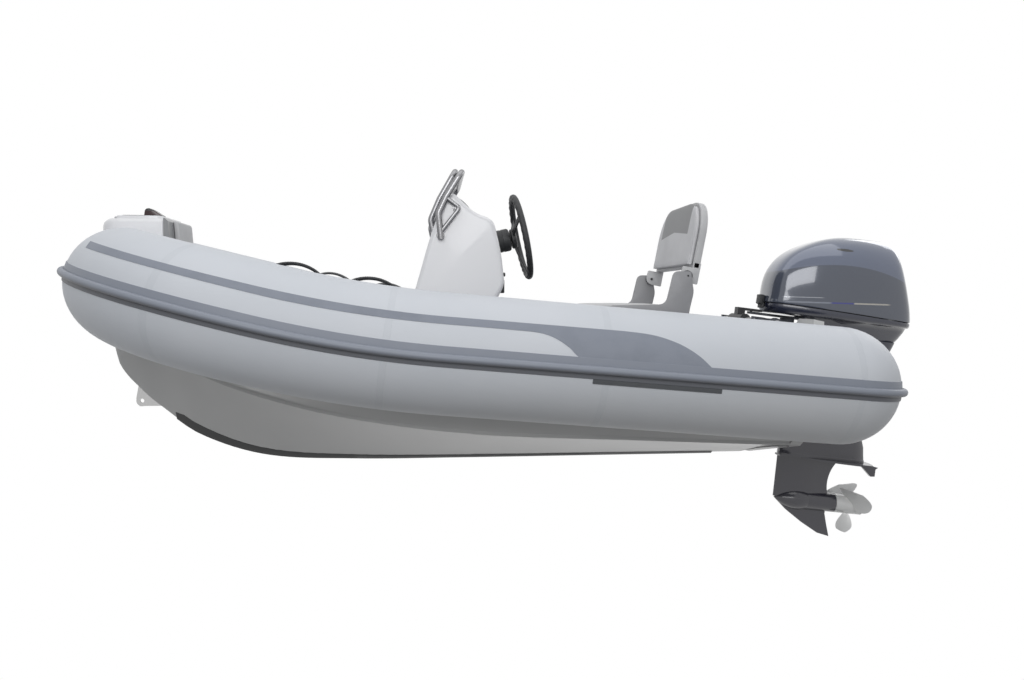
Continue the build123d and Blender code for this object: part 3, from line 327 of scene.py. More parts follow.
floor = bpy.data.objects.new("floor", bpy.data.meshes.new("floor"))
floorMesh = bmesh.new()
bmesh.ops.create_grid(floorMesh, x_segments=1, y_segments=1, size=30)
shifted(floorMesh, (0, 0, studio["floorZ"]))
floorMesh.to_mesh(floor.data)
floorMesh.free()
bpy.context.scene.collection.objects.link(floor)
floorPaint = bpy.data.materials.new("floorPaint")
floorPaint.use_nodes = True
floorTree = floorPaint.node_tree
ground = floorTree.nodes["Principled BSDF"]
ground.inputs["Base Color"].default_value = (studio["ground"], studio["ground"], studio["ground"], 1)
ground.inputs["Roughness"].default_value = 0.9
glow = floorTree.nodes.new("ShaderNodeEmission")
glow.inputs["Strength"].default_value = 1.0
backdrop(floorTree, ground, glow, "Material Output")
floor.data.materials.append(floorPaint)
floor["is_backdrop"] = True
bpy.context.scene.view_settings.view_transform = "Standard"
print("stage set")


def tubeFabric():  # coated fabric: faint weave, welded seams across, a little darker towards the bottom
    g = Graph("tube_fabric")
    along, around = g.split(g.uv, 0), g.split(g.uv, 1)
    weave = ((along * 2600).sine() * (around * 2600).sine()) * 0.5 + 0.5
    cloudy = g.noise(2.2, 4, 0.55)
    seams = 0.0
    for place in tube["seams"]:
        seams = (((along - place).absolute() * -1 + 0.0125) * 2600).clamp() + seams
    seams = seams.clamp()
    # the colour turns darker towards the bottom of the tube
    low = g.split(g.coords, 2).ramp(0.35, -0.05)
    pale = g.mix(cloudy.ramp(0.35, 0.7), (0.585, 0.608, 0.645), (0.612, 0.632, 0.668))
    body = g.mix(low * 0.55, pale, (0.5, 0.5, 0.49))
    body = g.mix(seams * 0.12, body, (0.4, 0.43, 0.46))
    grain = g.noise(340, 2, 0.6)
    relief = g.bump(seams, 0.0012, 0.5)
    relief = g.bump(weave * 0.6 + grain * 0.5, 0.00035, 0.35, relief)
    return g.finish(BaseColor=body, Roughness=(cloudy * 0.12 + 0.44), Normal=relief, SpecularIORLevel=0.35)


def trimRubber(name, colour, shade, rough=0.5):
    g = Graph(name)
    cloudy = g.noise(9, 4, 0.6)
    grain = g.noise(420, 2, 0.6)
    tone = g.mix(cloudy.ramp(0.35, 0.75), colour, shade)
    return g.finish(BaseColor=tone, Roughness=cloudy * 0.14 + rough, Normal=g.bump(grain * 0.5, 0.0004, 0.4),
                    SpecularIORLevel=0.4)


def gelcoat(name, colour, shade, rough=0.2, peel=0.25):
    g = Graph(name)
    cloudy = g.noise(3.5, 4, 0.6)
    tone = g.mix(cloudy.ramp(0.3, 0.75), colour, shade)
    ripple = g.bump(g.noise(55, 2, 0.5), 0.0006, peel * 0.4)
    return g.finish(BaseColor=tone, Roughness=cloudy * 0.1 + rough,
                    Normal=g.bump(g.noise(900, 1, 0.5), 0.0001, peel, ripple), CoatWeight=0.35,
                    CoatRoughness=0.08)


def mouldedPlastic(name, colour, rough=0.42, grainScale=700, depth=0.00025):
    g = Graph(name)
    worn = g.noise(6, 4, 0.65)
    tone = g.mix(worn.ramp(0.4, 0.8), colour, tuple(min(1.0, c * 1.16 + 0.004) for c in colour))
    pits = g.cells(grainScale)
    return g.finish(BaseColor=tone, Roughness=worn * 0.15 + rough, Normal=g.bump(pits, depth, 0.35))


def brushedSteel(name, colour=(0.36, 0.36, 0.37), rough=0.24):
    g = Graph(name)
    streaks = g.noise(30, 3, 0.6, g.moved(scale=(1, 14, 14)))
    return g.finish(BaseColor=g.mix(streaks, colour, tuple(c * 0.86 for c in colour)), Metallic=1.0,
                    Roughness=streaks * 0.16 + rough, Normal=g.bump(streaks, 0.0001, 0.15))


# the inflated tube runs in a U, with domed stern ends
tube = dict(radius=0.226, halfSpacing=0.655, tip=-1.652, bowX=1.387, bowZ=0.588, sternRise=4.95, bowRise=13.9,
            bendFrom=0.072, seams=(0.012, 0.95, 1.72, 2.46, 3.14))
r, halfSpacing = tube["radius"], tube["halfSpacing"]
sternRise, bowRise = radians(tube["sternRise"]), radians(tube["bowRise"])
bendTo = tube["bowX"] - halfSpacing * cos(bowRise)
bendRadius = (bendTo - tube["bendFrom"]) / (sin(bowRise) - sin(sternRise))
loopZ = tube["bowZ"] - halfSpacing * sin(bowRise)
bendZ = loopZ - bendRadius * (cos(sternRise) - cos(bowRise))
straightRun = (tube["bendFrom"] - tube["tip"] - r * cos(sternRise)) / cos(sternRise)
bendRun = bendRadius * (bowRise - sternRise)
halfRun = straightRun + bendRun + halfSpacing * pi / 2


def tubeFrame(s):  # centre, ahead, outward and up, s from the dome along the port side to the bow
    climb = sternRise + min(max((s - straightRun) / bendRadius, 0.0), bowRise - sternRise)
    ahead, out = Vector((cos(climb), 0, sin(climb))), Vector((0, 1, 0))
    up = Vector((-sin(climb), 0, cos(climb)))
    if s <= straightRun:
        centre = Vector((tube["bendFrom"], halfSpacing, bendZ)) - ahead * (straightRun - s)
    elif s <= straightRun + bendRun:
        centre = Vector((tube["bendFrom"] + bendRadius * (sin(climb) - sin(sternRise)), halfSpacing,
                         bendZ + bendRadius * (cos(sternRise) - cos(climb))))
    else:
        turn = (s - straightRun - bendRun) / halfSpacing
        out, ahead = out * cos(turn) + ahead * sin(turn), ahead * cos(turn) - out * sin(turn)
        centre = Vector((bendTo, 0, loopZ)) + out * halfSpacing
    return centre, ahead, out, up


def onTube(s, angle, stand=0.0):  # a point on the skin, domed for s below 0
    centre, ahead, out, up = tubeFrame(max(s, 0.0))
    lean = min(-s / r, pi / 2) if s < 0 else 0.0
    across = out * cos(angle) + up * sin(angle)
    return centre + across * (r + stand) * cos(lean) - ahead * (r + stand) * sin(lean)


def onStrake(s, angle, stand=0.0):  # as onTube, but the section swings round the dome
    centre, ahead, out, up = tubeFrame(max(s, 0.0))
    swing = -s / r if s < 0 else 0.0
    return centre + ((out * cos(swing) - ahead * sin(swing)) * cos(angle) + up * sin(angle)) * (r + stand)


def sAt(x):  # the distance s where the port tube's axis is at x
    if x <= tube["bendFrom"]:
        return straightRun - (tube["bendFrom"] - x) / cos(sternRise)
    return straightRun + bendRadius * (asin(sin(sternRise) + (x - tube["bendFrom"]) / bendRadius) - sternRise)


def swept(section, sFrom, sTo, columns):  # a closed section of (height, stand) along the tube
    ring = section + section[:1]
    return shapedGrid(columns, len(section), lambda u, v: onStrake(
        lerp(sFrom, sTo, u), ring[round(v * len(section))][0] / r, ring[round(v * len(section))][1]),
        (sTo - sFrom, len(section)))


skin = shapedGrid(150, 64, lambda u, v: onTube(lerp(-r * pi / 2, halfRun, u), (v - 0.25) * 2 * pi),
                  (halfRun + r * pi / 2, 2 * pi * r))
for face in skin.faces:
    for loop in face.loops:
        loop[skin.loops.layers.uv.active].uv.x -= r * pi / 2
piece("tube_skin", closeUp(mirrored(skin), 1e-4), "boat", tubeFabric(),
      replaces=["tube_collar"])

trim = dict(slate=(0.24, 0.26, 0.305), slateShade=(0.215, 0.234, 0.275),
            band=0.003, ridge=0.014, ridgeStand=0.006, wrap=76.7)
slate = trimRubber("tube_trim", trim["slate"], trim["slateShade"])
bandSection = [(-0.032, -0.0008), (-0.032, 0.0022), (-0.0312, 0.003), (-0.012, 0.003), (0.0, 0.003),
               (0.012, 0.003), (0.0402, 0.003), (0.041, 0.0022), (0.041, -0.0008), (0.0, -0.0008)]
around = [radians(a) for a in range(-116, 117, 8)]
ridgeSection = [(trim["ridge"] * sin(a), trim["band"] + trim["ridgeStand"] + trim["ridge"] * cos(a))
                for a in around]
ridgeSection = [(-0.0165, 0.0029)] + ridgeSection + [(0.0165, 0.0029), (0.0, 0.0024)]
wrapFrom = -radians(trim["wrap"]) * r


def paintedShadeFlank(name, full, lowest):  # painted shade: the strake's rubber is coloured darker along its underside to stand for the shadow there
    g = Graph(name)
    flank = g.split(g.uv, 1)
    upper = flank.ramp(lowest, full)
    # painted shade: below the ridge the slate is mixed towards near black, standing for the shade under the
    # strake
    tone = g.mix(upper, (0.105, 0.11, 0.124), trim["slate"])
    return g.finish(BaseColor=tone, Roughness=g.noise(12, 3, 0.6) * 0.15 + 0.42,
                    Normal=g.bump(g.noise(700, 2, 0.5), 0.0002, 0.3))


for name, section, rubber, full, lowest, node in (
        ("strake_band", bandSection, "strake_rubber_painted_shade", 3.6, 3.2, "strake_base"),
        ("strake_round", ridgeSection, "ridge_rubber_painted_shade", 17.0, 8.0, "strake_ridge")):
    strake = closeUp(mirrored(swept(section, wrapFrom, halfRun, 190)))
    piece(name, strake, "boat", paintedShadeFlank(rubber, full, lowest), replaces=[node])

# a long stripe above the strake that widens into a plain panel
stripe = dict(upper=[(0.574, 9.4), (0.618, 18.9), (0.661, 25.9), (0.707, 31.4), (0.778, 36.6), (0.861, 38.6),
                     (1.0, 38.8), (2.0, 37.9), (2.4, 37.2), (2.84, 39.0)],
              lower=[(0.574, 9.3), (0.8, 9.3), (1.045, 9.3), (1.09, 18.3), (1.141, 25.9), (1.193, 29.6),
                     (1.286, 30.4), (1.6, 30.4), (2.2, 29.4), (2.84, 30.8)],
              start=0.574, end=2.834, widens=1.045, lowest=9.3, slant=0.012, thick=0.0009)


def onStripe(u, v):
    s = stripe["start"] + (stripe["end"] - stripe["start"]) * u
    low = along(stripe["lower"], s, 1) if s > stripe["widens"] else stripe["lowest"]
    high = along(stripe["upper"], s, 1)
    front = max(0.0, (u - 0.97) / 0.03) * stripe["slant"]
    return onTube(s + front * (v * 2 - 1), radians(lerp(low, max(high, low), v)), 0.0002)


stripeSkin = walled(shapedGrid(260, 10, onStripe), -stripe["thick"])
piece("stripe_panels", mirrored(stripeSkin), "boat", slate)

wear = dict(fore=-0.433, aft=-0.895, colour=(0.085, 0.09, 0.097))
wearSection = [(-0.0485, -0.0006), (-0.0485, 0.0026), (-0.0455, 0.0031), (-0.0425, 0.0026), (-0.0405, 0.0031),
               (-0.0375, 0.0026), (-0.0355, 0.0031), (-0.0325, 0.0027), (-0.0325, -0.0006)]
wearBand = closeUp(swept(wearSection, sAt(wear["aft"]), sAt(wear["fore"]), 40))
piece("wear_strip_pair", mirrored(wearBand), "boat",
      trimRubber("wear_rubber", wear["colour"], (0.07, 0.074, 0.08), 0.45), replaces=["wear_strips"])

black = mouldedPlastic("black_plastic", (0.018, 0.019, 0.021))
rubber = trimRubber("handle_rubber", (0.022, 0.023, 0.026), (0.03, 0.031, 0.034), 0.5)


def lathed(profile, steps=48):  # a profile of (radius, height) turned about Z
    bm = bmesh.new()
    verts = [bm.verts.new((x, 0, z)) for x, z in profile]
    edges = [bm.edges.new(pair) for pair in zip(verts, verts[1:])]
    bmesh.ops.spin(bm, geom=verts + edges, cent=(0, 0, 0), axis=(0, 0, 1), angle=2 * pi, steps=steps,
                   use_merge=True)
    return closeUp(bm)


def aimed(place, axis):  # matrix that puts local Z along an axis at a place
    return Matrix.Translation(place) @ Vector(axis).to_track_quat("Z", "Y").to_matrix().to_4x4()


capProfile = [((r + stand) * sin(radians(a)), (r + stand) * cos(radians(a))) for a, stand in (
    (0, -0.002), (12.2, -0.002), (12.2, 0.0022), (11.8, 0.0042), (11.0, 0.0052), (9.2, 0.0054), (8.8, 0.0044),
    (8.0, 0.0044), (7.6, 0.0054), (3.4, 0.0058), (0, 0.0058))]
domeCentre, domeAhead = tubeFrame(0)[:2]
endCap = turned(lathed(capProfile), aimed(domeCentre, domeAhead * -1))
piece("dome_caps", mirrored(endCap), "boat", slate, replaces=["tube_end_caps"])

# strap handles: a ribbed grip between two welded patches
handle = dict(angle=106, half=0.1, rise=0.031, thick=0.007, width=0.034, patch=(0.036, 0.0165),
              places=(0.66, 0.374))
archRadius = (handle["half"] ** 2 + (handle["rise"] + 0.004) ** 2) / 2 / (handle["rise"] + 0.004)


def strapHandle(x):
    centre, lean = sAt(x), radians(handle["angle"])

    def overArch(u, v):
        t = (u * 2 - 1) * (handle["half"] - 0.002)
        stand = handle["rise"] - archRadius + sqrt(archRadius**2 - t**2)
        corner = 2 * pi * v
        thick = handle["thick"] * (0.5 + 0.05 * cos(t * 700) * (abs(t) < 0.055))
        across = handle["width"] / 2 * (1 - 0.22 * max(0, 1 - (t / 0.07) ** 2))
        side, deep = clipped(1.35 * cos(corner)) * across, clipped(1.35 * sin(corner)) * thick
        return onTube(centre + t, lean + side / (r + stand), max(stand - handle["thick"] / 2 + deep, -0.001))

    def overPatch(u, v, middle):
        turn, flat = 2 * pi * v, 0.0035 * (1 - u**6) - 0.0006
        return onTube(middle + handle["patch"][0] * u * cos(turn),
                      lean + handle["patch"][1] / r * u * sin(turn), flat)
    parts = [closeUp(shapedGrid(72, 20, overArch))]
    for middle in (centre - handle["half"], centre + handle["half"]):
        parts.append(closeUp(shapedGrid(8, 36, lambda u, v: overPatch(u, v, middle))))
    return join(*parts)


for number, x in enumerate(handle["places"], 1):
    grip = strapHandle(x)
    other = grip.copy()
    bmesh.ops.mirror(other, geom=other.verts[:] + other.edges[:] + other.faces[:], axis="Y", merge_dist=-1,
                     matrix=Matrix.Identity(4))
    bmesh.ops.delete(other, geom=[v for v in other.verts if v.co.y > 0], context="VERTS")
    outward(other)
    for name, strap in (("port", grip), ("starboard", other)):
        piece(f"handle_{name}_{number}", strap, "boat", rubber,
              replaces=[f"grab_handle_{name}_{number}"])

valve = [(0, 0.0035), (0.006, 0.0035), (0.0065, 0.0045), (0.01, 0.0045), (0.0108, 0.0032), (0.0195, 0.003),
         (0.0205, 0.0022), (0.0225, 0.0018), (0.0235, 0.0), (0.0235, -0.003), (0, -0.003)]
valves, valveAngle = [], radians(150)
for s in (0.45, 1.55, 2.35):
    out = onTube(s, valveAngle) - tubeFrame(s)[0]
    valves.append(turned(lathed(valve, 40), aimed(onTube(s, valveAngle, -0.0005), out)))
piece("air_valves", mirrored(join(*valves)), "boat", black)
print("tube dressed")


# hull, deck and transom
hull = dict(keelHalf=0.01, deck=0.058, bulkheadX=1.094, rake=12.0, aftX=-1.33,
            keel=-0.18, transomThick=0.045, gunwaleDrop=0.13, gunwaleIn=0.185, chineFlat=0.016,
            stations=[(-1.5, -0.18, 0.498, -0.072), (-0.7, -0.18, 0.505, -0.032), (0.0, -0.18, 0.5, 0.006),
                      (0.48, -0.176, 0.468, 0.072), (0.85, -0.151, 0.385, 0.16), (1.124, -0.058, 0.262, 0.25),
                      (1.288, 0.063, 0.16, 0.305), (1.366, 0.134, 0.112, 0.33), (1.451, 0.239, 0.044, 0.356),
                      (1.476, 0.335, 0.014, 0.372)],
            well=[(-1.6, 0.44, 0.44, 0.13), (0.43, 0.43, 0.44, 0.13), (0.85, 0.222, 0.338, 0.165),
                  (1.094, 0.084, 0.205, 0.235)])
gelPale = gelcoat("hull_gelcoat", (0.5, 0.5, 0.495), (0.49, 0.49, 0.485), 0.42)


def straightTable(table, x, column):  # as the ruled stations of the cockpit
    k = max(0, min(len(table) - 2, sum(row[0] <= x for row in table) - 1))
    t = (x - table[k][0]) / (table[k + 1][0] - table[k][0])
    return lerp(table[k][column], table[k + 1][column], min(max(t, 0.0), 1.0))


def tubeAxis(x):  # half spacing and height of the tube's axis
    if x <= bendTo:
        centre = tubeFrame(sAt(x))[0]
        return centre.y, centre.z
    run = min((x - bendTo) / cos(bowRise), halfSpacing)
    return sqrt(halfSpacing**2 - run**2), loopZ + run * sin(bowRise)


def hullRing(x):  # port half of a section, from the keel round to the middle of the cockpit floor
    keel, chineY, chineZ = (along(hull["stations"], x, k) for k in (1, 2, 3))
    axisY, axisZ = tubeAxis(x)
    flankY = max(axisY - r * sin(radians(25)), chineY + 0.006)
    flankZ = axisZ - r * cos(radians(25))
    topY, topZ = max(axisY - hull["gunwaleIn"], chineY * 0.6), axisZ - hull["gunwaleDrop"]
    bottom = []
    for t in (0.0, 0.12, 0.3, 0.5, 0.7, 0.88, 1.0):
        sag = 0.012 * sin(pi * t) * min(1.0, chineY / 0.3)
        bottom.append((lerp(hull["keelHalf"], chineY - hull["chineFlat"] * min(1, chineY / 0.2), t),
                       lerp(keel, chineZ - 0.006, t) + sag - 0.006 * sin(pi * t)))
    outside = [(0.0, keel)] + bottom + [(chineY, chineZ - 0.007), (chineY + 0.001, chineZ),
                                        (chineY, chineZ + 0.006)]
    outside += [(lerp(chineY, flankY, t), lerp(chineZ + 0.006, flankZ, t)) for t in (0.33, 0.66, 1.0)]
    outside += [(lerp(flankY, topY, t), lerp(flankZ, topZ, t)) for t in (0.5, 1.0)]
    if x <= hull["bulkheadX"]:
        floorY, sideY, sideZ = (straightTable(hull["well"], x, k) for k in (1, 2, 3))
        inner = [(min(sideY, topY - 0.004), topZ), (min(sideY, topY - 0.004), max(sideZ, 0.0)),
                 (floorY, hull["deck"]), (floorY * 0.5, hull["deck"]), (0.0, hull["deck"])]
    else:
        inner = [(topY * t, topZ) for t in (0.95, 0.8, 0.6, 0.3, 0.0)]
    return outside + inner


sternX = hull["aftX"] + hull["transomThick"] / cos(radians(hull["rake"]))
spots = [-1.47 + 0.014 * k for k in range(15)] + [-1.24 + 0.06 * k for k in range(39)]
spots = [x for x in spots if x < hull["bulkheadX"] - 0.004] + [hull["bulkheadX"], hull["bulkheadX"] + 0.003]
spots += [hull["bulkheadX"] + 0.012 * k for k in range(1, 31)] + [1.464, 1.47, 1.474, 1.476]
hullRings = [hullRing(x) for x in spots]


def onHull(u, v):
    column, row = round(u * (len(spots) - 1)), round(v * (len(hullRings[0]) - 1))
    y, z = hullRings[column][row]
    return Vector((max(spots[column], sternX - (z - hull["keel"]) * tan(radians(hull["rake"]))), y, z))


shell = closeUp(mirrored(shapedGrid(len(spots) - 1, len(hullRings[0]) - 1, onHull)))
piece("hull_shell", shell, "boat", gelPale, crease=22, replaces=["hull"])

# keel guard: a dark strip wrapped round the keel, pointed at the bow
guard = dict(aft=-1.15, fore=1.222, thick=0.006, half=0.042, rise=0.052)


def onGuard(u, v):
    x = lerp(guard["aft"], guard["fore"], u)
    keel, chineY, chineZ = (along(hull["stations"], x, k) for k in (1, 2, 3))
    taper = min(1.0, (1.0 - u) / 0.02 + 0.55) * min(1.0, u / 0.01 + 0.4)
    half = hull["keelHalf"] + (guard["half"] - hull["keelHalf"]) * taper
    steep = (chineZ - keel) / (chineY - hull["keelHalf"])
    rise = min(guard["rise"], (half - hull["keelHalf"]) * steep + 0.004)
    profile = [(0.0, keel - guard["thick"]), (hull["keelHalf"], keel - guard["thick"]),
               (half - 0.002, keel + rise - guard["thick"] * 0.9), (half, keel + rise - guard["thick"] * 0.3),
               (half - 0.003, keel + rise + 0.004), (hull["keelHalf"], keel + 0.003), (0.0, keel + 0.003)]
    y, z = profile[round(v * 6)]
    return Vector((x, y, z))


strip = closeUp(mirrored(shapedGrid(60, 6, onGuard)))
piece("keel_strip", strip, "boat",
      mouldedPlastic("keel_strip", (0.022, 0.023, 0.024), 0.5, 400), replaces=["keel_guard"])


def padMat():  # closed-cell foam with caulked plank lines
    g = Graph("deck_foam")
    groove = (g.split(g.coords, 1) * 16.0 * pi).sine().absolute().ramp(0.1, 0.03)
    grain = g.noise(260, 3, 0.7)
    tone = g.mix(grain.ramp(0.3, 0.8), (0.19, 0.195, 0.2), (0.245, 0.25, 0.255))
    return g.finish(BaseColor=g.mix(groove, tone, (0.035, 0.035, 0.037)), Roughness=0.82,
                    Normal=g.bump(groove * -1 + grain * 0.35, 0.0012, 0.6))


def studDeck(name, colour):  # moulded non-slip gelcoat
    g = Graph(name)
    stud = g.cells(190).ramp(0.45, 0.2)
    cloudy = g.noise(4, 4, 0.6)
    return g.finish(BaseColor=g.mix(cloudy, colour, tuple(c * 0.9 for c in colour)), Roughness=0.42,
                    Normal=g.bump(stud, 0.0006, 0.6), CoatWeight=0.15)


finishes = {"deck_mat": padMat(),
            "lid_mat": trimRubber("lid_foam", (0.045, 0.047, 0.05), (0.06, 0.062, 0.065), 0.75),
            "deck": studDeck("deck_gelcoat", (0.66, 0.66, 0.65)), "transom": gelPale,
            "bow_eye": brushedSteel("stem_eye_steel", (0.5, 0.5, 0.5), 0.35),
            "tow_eyes": brushedSteel("stern_eye_steel")}
steel = brushedSteel("stainless", (0.27, 0.27, 0.28), 0.2)
whiteGel = gelcoat("white_gelcoat", (0.75, 0.75, 0.765), (0.745, 0.745, 0.76), 0.24)
greyGel = gelcoat("locker_grey", (0.235, 0.24, 0.245), (0.21, 0.214, 0.22), 0.3)


# bow locker: cap, lid and light
cap = dict(aft=1.213, fore=1.457, nose=0.024, top=0.85, base=0.685, half=0.178, round=0.034,
           corner=0.07)


def capRing(z):  # plan of the cap at one height
    edge = max(0.0, z - (cap["top"] - cap["round"])) / cap["round"]
    draw = 0.01 * edge**2 + 0.012 * max(0.0, edge - 0.7) / 0.3 * edge
    back, tip, half = cap["aft"], cap["fore"] + cap["nose"] - 0.022 * edge**2.2, cap["half"] - draw
    ring = [(back, 0.0), (back, half * 0.5), (back, half - 0.004), (back + 0.004, half)]
    ring += [(lerp(back, cap["fore"] - cap["corner"], t), half) for t in (0.35, 0.7, 1.0)]
    for k in range(1, 15):
        a = radians(90 - 6.43 * k)
        bulge = cos(a) ** 0.8
        ring.append((cap["fore"] - cap["corner"] + (tip - cap["fore"] + cap["corner"]) * bulge,
                     half * abs(sin(a)) ** 0.62))
    return [Vector((x, y, z)) for x, y in ring]


capLevels = [cap["base"], 0.7, 0.74, 0.78, 0.806, 0.818, 0.828, 0.836, 0.842, 0.846, 0.8488, 0.8498]
capSkin = [capRing(z) for z in capLevels]
capSkin += [[Vector((lerp(cap["aft"] + 0.12, p.x, t), p.y * t,
                     0.8499 + 0.0001 * (1 - t))) for p in capSkin[-1]] for t in (0.9, 0.6, 0.3)]


def onCap(u, v):
    return capSkin[round(v * (len(capSkin) - 1))][round(u * (len(capSkin[0]) - 1))]


capBm = walled(mirrored(shapedGrid(len(capSkin[0]) - 1, len(capSkin) - 1, onCap)), 0.006, 0.845)
lugs = []
hinge = dict(x=1.421, z=0.8565, knuckle=0.006, half=0.022, ear=0.008, places=(0.0814, -0.0814))


def barAlongY(radius, low, high, x, z, steps=24, rim=0.0006):  # a round bar with eased ends
    bm = lathed([(0, low), (radius - rim, low), (radius, low + rim), (radius, high - rim),
                 (radius - rim, high), (0, high)], steps)
    return turned(bm, Matrix.Translation((x, 0, z)) @ Matrix.Rotation(radians(-90), 4, "X"))


for y in hinge["places"]:
    for side in (-1, 1):
        middle = y + side * (hinge["half"] + hinge["ear"] / 2 + 0.0005)
        low, high = middle - hinge["ear"] / 2, middle + hinge["ear"] / 2
        lugs.append(barAlongY(hinge["knuckle"], low, high, hinge["x"], hinge["z"]))
        ear = corners(hinge["x"] - hinge["knuckle"], hinge["x"] + hinge["knuckle"], 0.848, hinge["z"])
        lugs.append(bevelled(prism(ear, low, high), 0.0006, 1))
piece("cap_moulding", join(capBm, *lugs), "boat", whiteGel, crease=30, replaces=["bow_cap"])

lid = dict(aft=1.228, fore=1.413, half=0.148, low=0.8503, high=0.8623, corner=0.026)


def roundedPlan(x0, x1, half, corner, steps=7):
    ring = []
    for cx, cy, start in ((x1 - corner, half - corner, 0), (x0 + corner, half - corner, 90),
                          (x0 + corner, corner - half, 180), (x1 - corner, corner - half, 270)):
        ring += [(cx + corner * cos(radians(start + 90 * k / steps)),
                  cy + corner * sin(radians(start + 90 * k / steps))) for k in range(steps + 1)]
    return ring


def slab(x0, x1, half, corner, low, high, bevel=0.0, segments=3):  # rounded plate, its upper edges eased
    bm = prism(roundedPlan(x0, x1, half, corner), low, high, "XY")
    return bevelled(bm, bevel, segments, above(bm, (low + high) / 2)) if bevel else bm


lidBm = slab(lid["aft"], lid["fore"], lid["half"], lid["corner"], lid["low"], lid["high"], 0.003)
hingeHalves = [barAlongY(hinge["knuckle"], y - hinge["half"], y + hinge["half"], hinge["x"], hinge["z"])
               for y in hinge["places"]]
leaf = corners(lid["fore"] - 0.002, hinge["x"], 0.8545, 0.859)
leaves = [bevelled(prism(leaf, y - hinge["half"], y + hinge["half"]), 0.0008, 1) for y in hinge["places"]]
piece("lid_moulding", join(lidBm, *hingeHalves, *leaves), "lid", whiteGel,
      replaces=["locker_lid"])

# navigation light: black housing with a smoked band of lens
light = dict(aft=1.262, fore=1.336, half=0.03, foot=0.8623)
lightSide = [(x, light["foot"] + up) for x, up in (
    (light["aft"], 0), (light["fore"], 0), (light["fore"], 0.012), (light["fore"] - 0.003, 0.034),
    (light["fore"] - 0.01, 0.041), (light["fore"] - 0.022, 0.0428), (light["fore"] - 0.045, 0.031),
    (light["aft"] + 0.006, 0.0155), (light["aft"], 0.0115))]
lamp = bevelled(prism(lightSide, -light["half"], light["half"]), 0.004)
lampGlass = Graph("light_housing")
band = (lampGlass.split(lampGlass.coords, 2) - (light["foot"] + 0.022)).absolute().ramp(0.01, 0.0085)
red = lampGlass.split(lampGlass.coords, 1).ramp(-0.002, 0.002)
lens = lampGlass.mix(red, (0.01, 0.03, 0.018), (0.034, 0.01, 0.011))
lampTone = lampGlass.mix(band, (0.016, 0.017, 0.019), lens)
lampPaint = lampGlass.finish(BaseColor=lampTone, Roughness=band * -0.28 + 0.4,
                             Normal=lampGlass.bump(lampGlass.noise(500), 0.0002, 0.3))
piece("light_housing", lamp, "lid", lampPaint, replaces=["bow_light"])
finishes.update({"lid_hinge_pins": steel, "locker_bulkhead": greyGel})
print("hull and bow dressed")


# console with its dash, controls and rail
console = dict(half=0.27, corner=0.02,
               side=[(0.292, 0.073), (0.25, 0.36), (0.202, 0.528), (0.129, 0.783), (0.067, 0.948),
                     (0.034, 0.957), (-0.048, 0.879), (-0.131, 0.847), (-0.163, 0.71), (-0.177, 0.578),
                     (-0.138, 0.508), (-0.122, 0.3), (-0.122, 0.073)],
               soften=[0, 0.3, 0.18, 0.14, 0.016, 0.016, 0.03, 0.028, 0.05, 0.03, 0.03, 0.08, 0])


def softened(outline, radii, steps=6):  # rounds the corners of a closed outline
    points = []
    for k, (here, radius) in enumerate(zip(outline, radii)):
        at, before, after = Vector(here), Vector(outline[k - 1]), Vector(outline[(k + 1) % len(outline)])
        if radius == 0:
            points.append(tuple(at))
            continue
        back, on = (before - at), (after - at)
        reach = min(radius, back.length * 0.45, on.length * 0.45)
        start, end = at + back.normalized() * reach, at + on.normalized() * reach
        for step in range(steps + 1):
            t = step / steps
            points.append(tuple(start * (1 - t) ** 2 + at * 2 * t * (1 - t) + end * t**2))
    return points


consoleSide = softened(console["side"], console["soften"])
body = prism(consoleSide, -console["half"], console["half"])
bevelled(body, console["corner"], 6, [e for e in body.edges if abs(e.verts[0].co.y - e.verts[1].co.y) < 1e-6
                                      and max(v.co.z for v in e.verts) > 0.08])
piece("console_moulding", closeUp(body, 1e-6), "boat", whiteGel, crease=32,
      replaces=["console"])

# dash: black panel, three gauges with plain dials
dash = dict(half=0.21, margin=0.008, corner=0.012, thick=0.004, screw=0.012, gauges=(-0.12, 0.0, 0.12))
dashHigh, dashLow = (Vector((x, 0, z)) for x, z in console["side"][5:7])
dashDown = (dashLow - dashHigh).normalized()
dashOut = Vector((dashDown.z, 0, -dashDown.x))
dashOut = dashOut if dashOut.z > 0 else dashOut * -1
dashTurn = axes((dashHigh + dashLow) / 2, (0, -1, 0), dashDown * -1, dashOut)
dashTall = (dashHigh - dashLow).length / 2 - dash["margin"]
panel = slab(-dash["half"], dash["half"], dashTall, dash["corner"], 0.0, dash["thick"], 0.0012, 2)
screws = []
for x in (-dash["half"] + dash["screw"], dash["half"] - dash["screw"]):
    for y in (-dashTall + dash["screw"], dashTall - dash["screw"]):
        head = lathed([(0, 0.0052), (0.0028, 0.0048), (0.0036, 0.004), (0, 0.004)], 16)
        screws.append(shifted(head, (x, y, 0)))
piece("dash_plate", join(panel, *screws), "boat", black, turn=dashTurn,
      replaces=["dash_panel"])


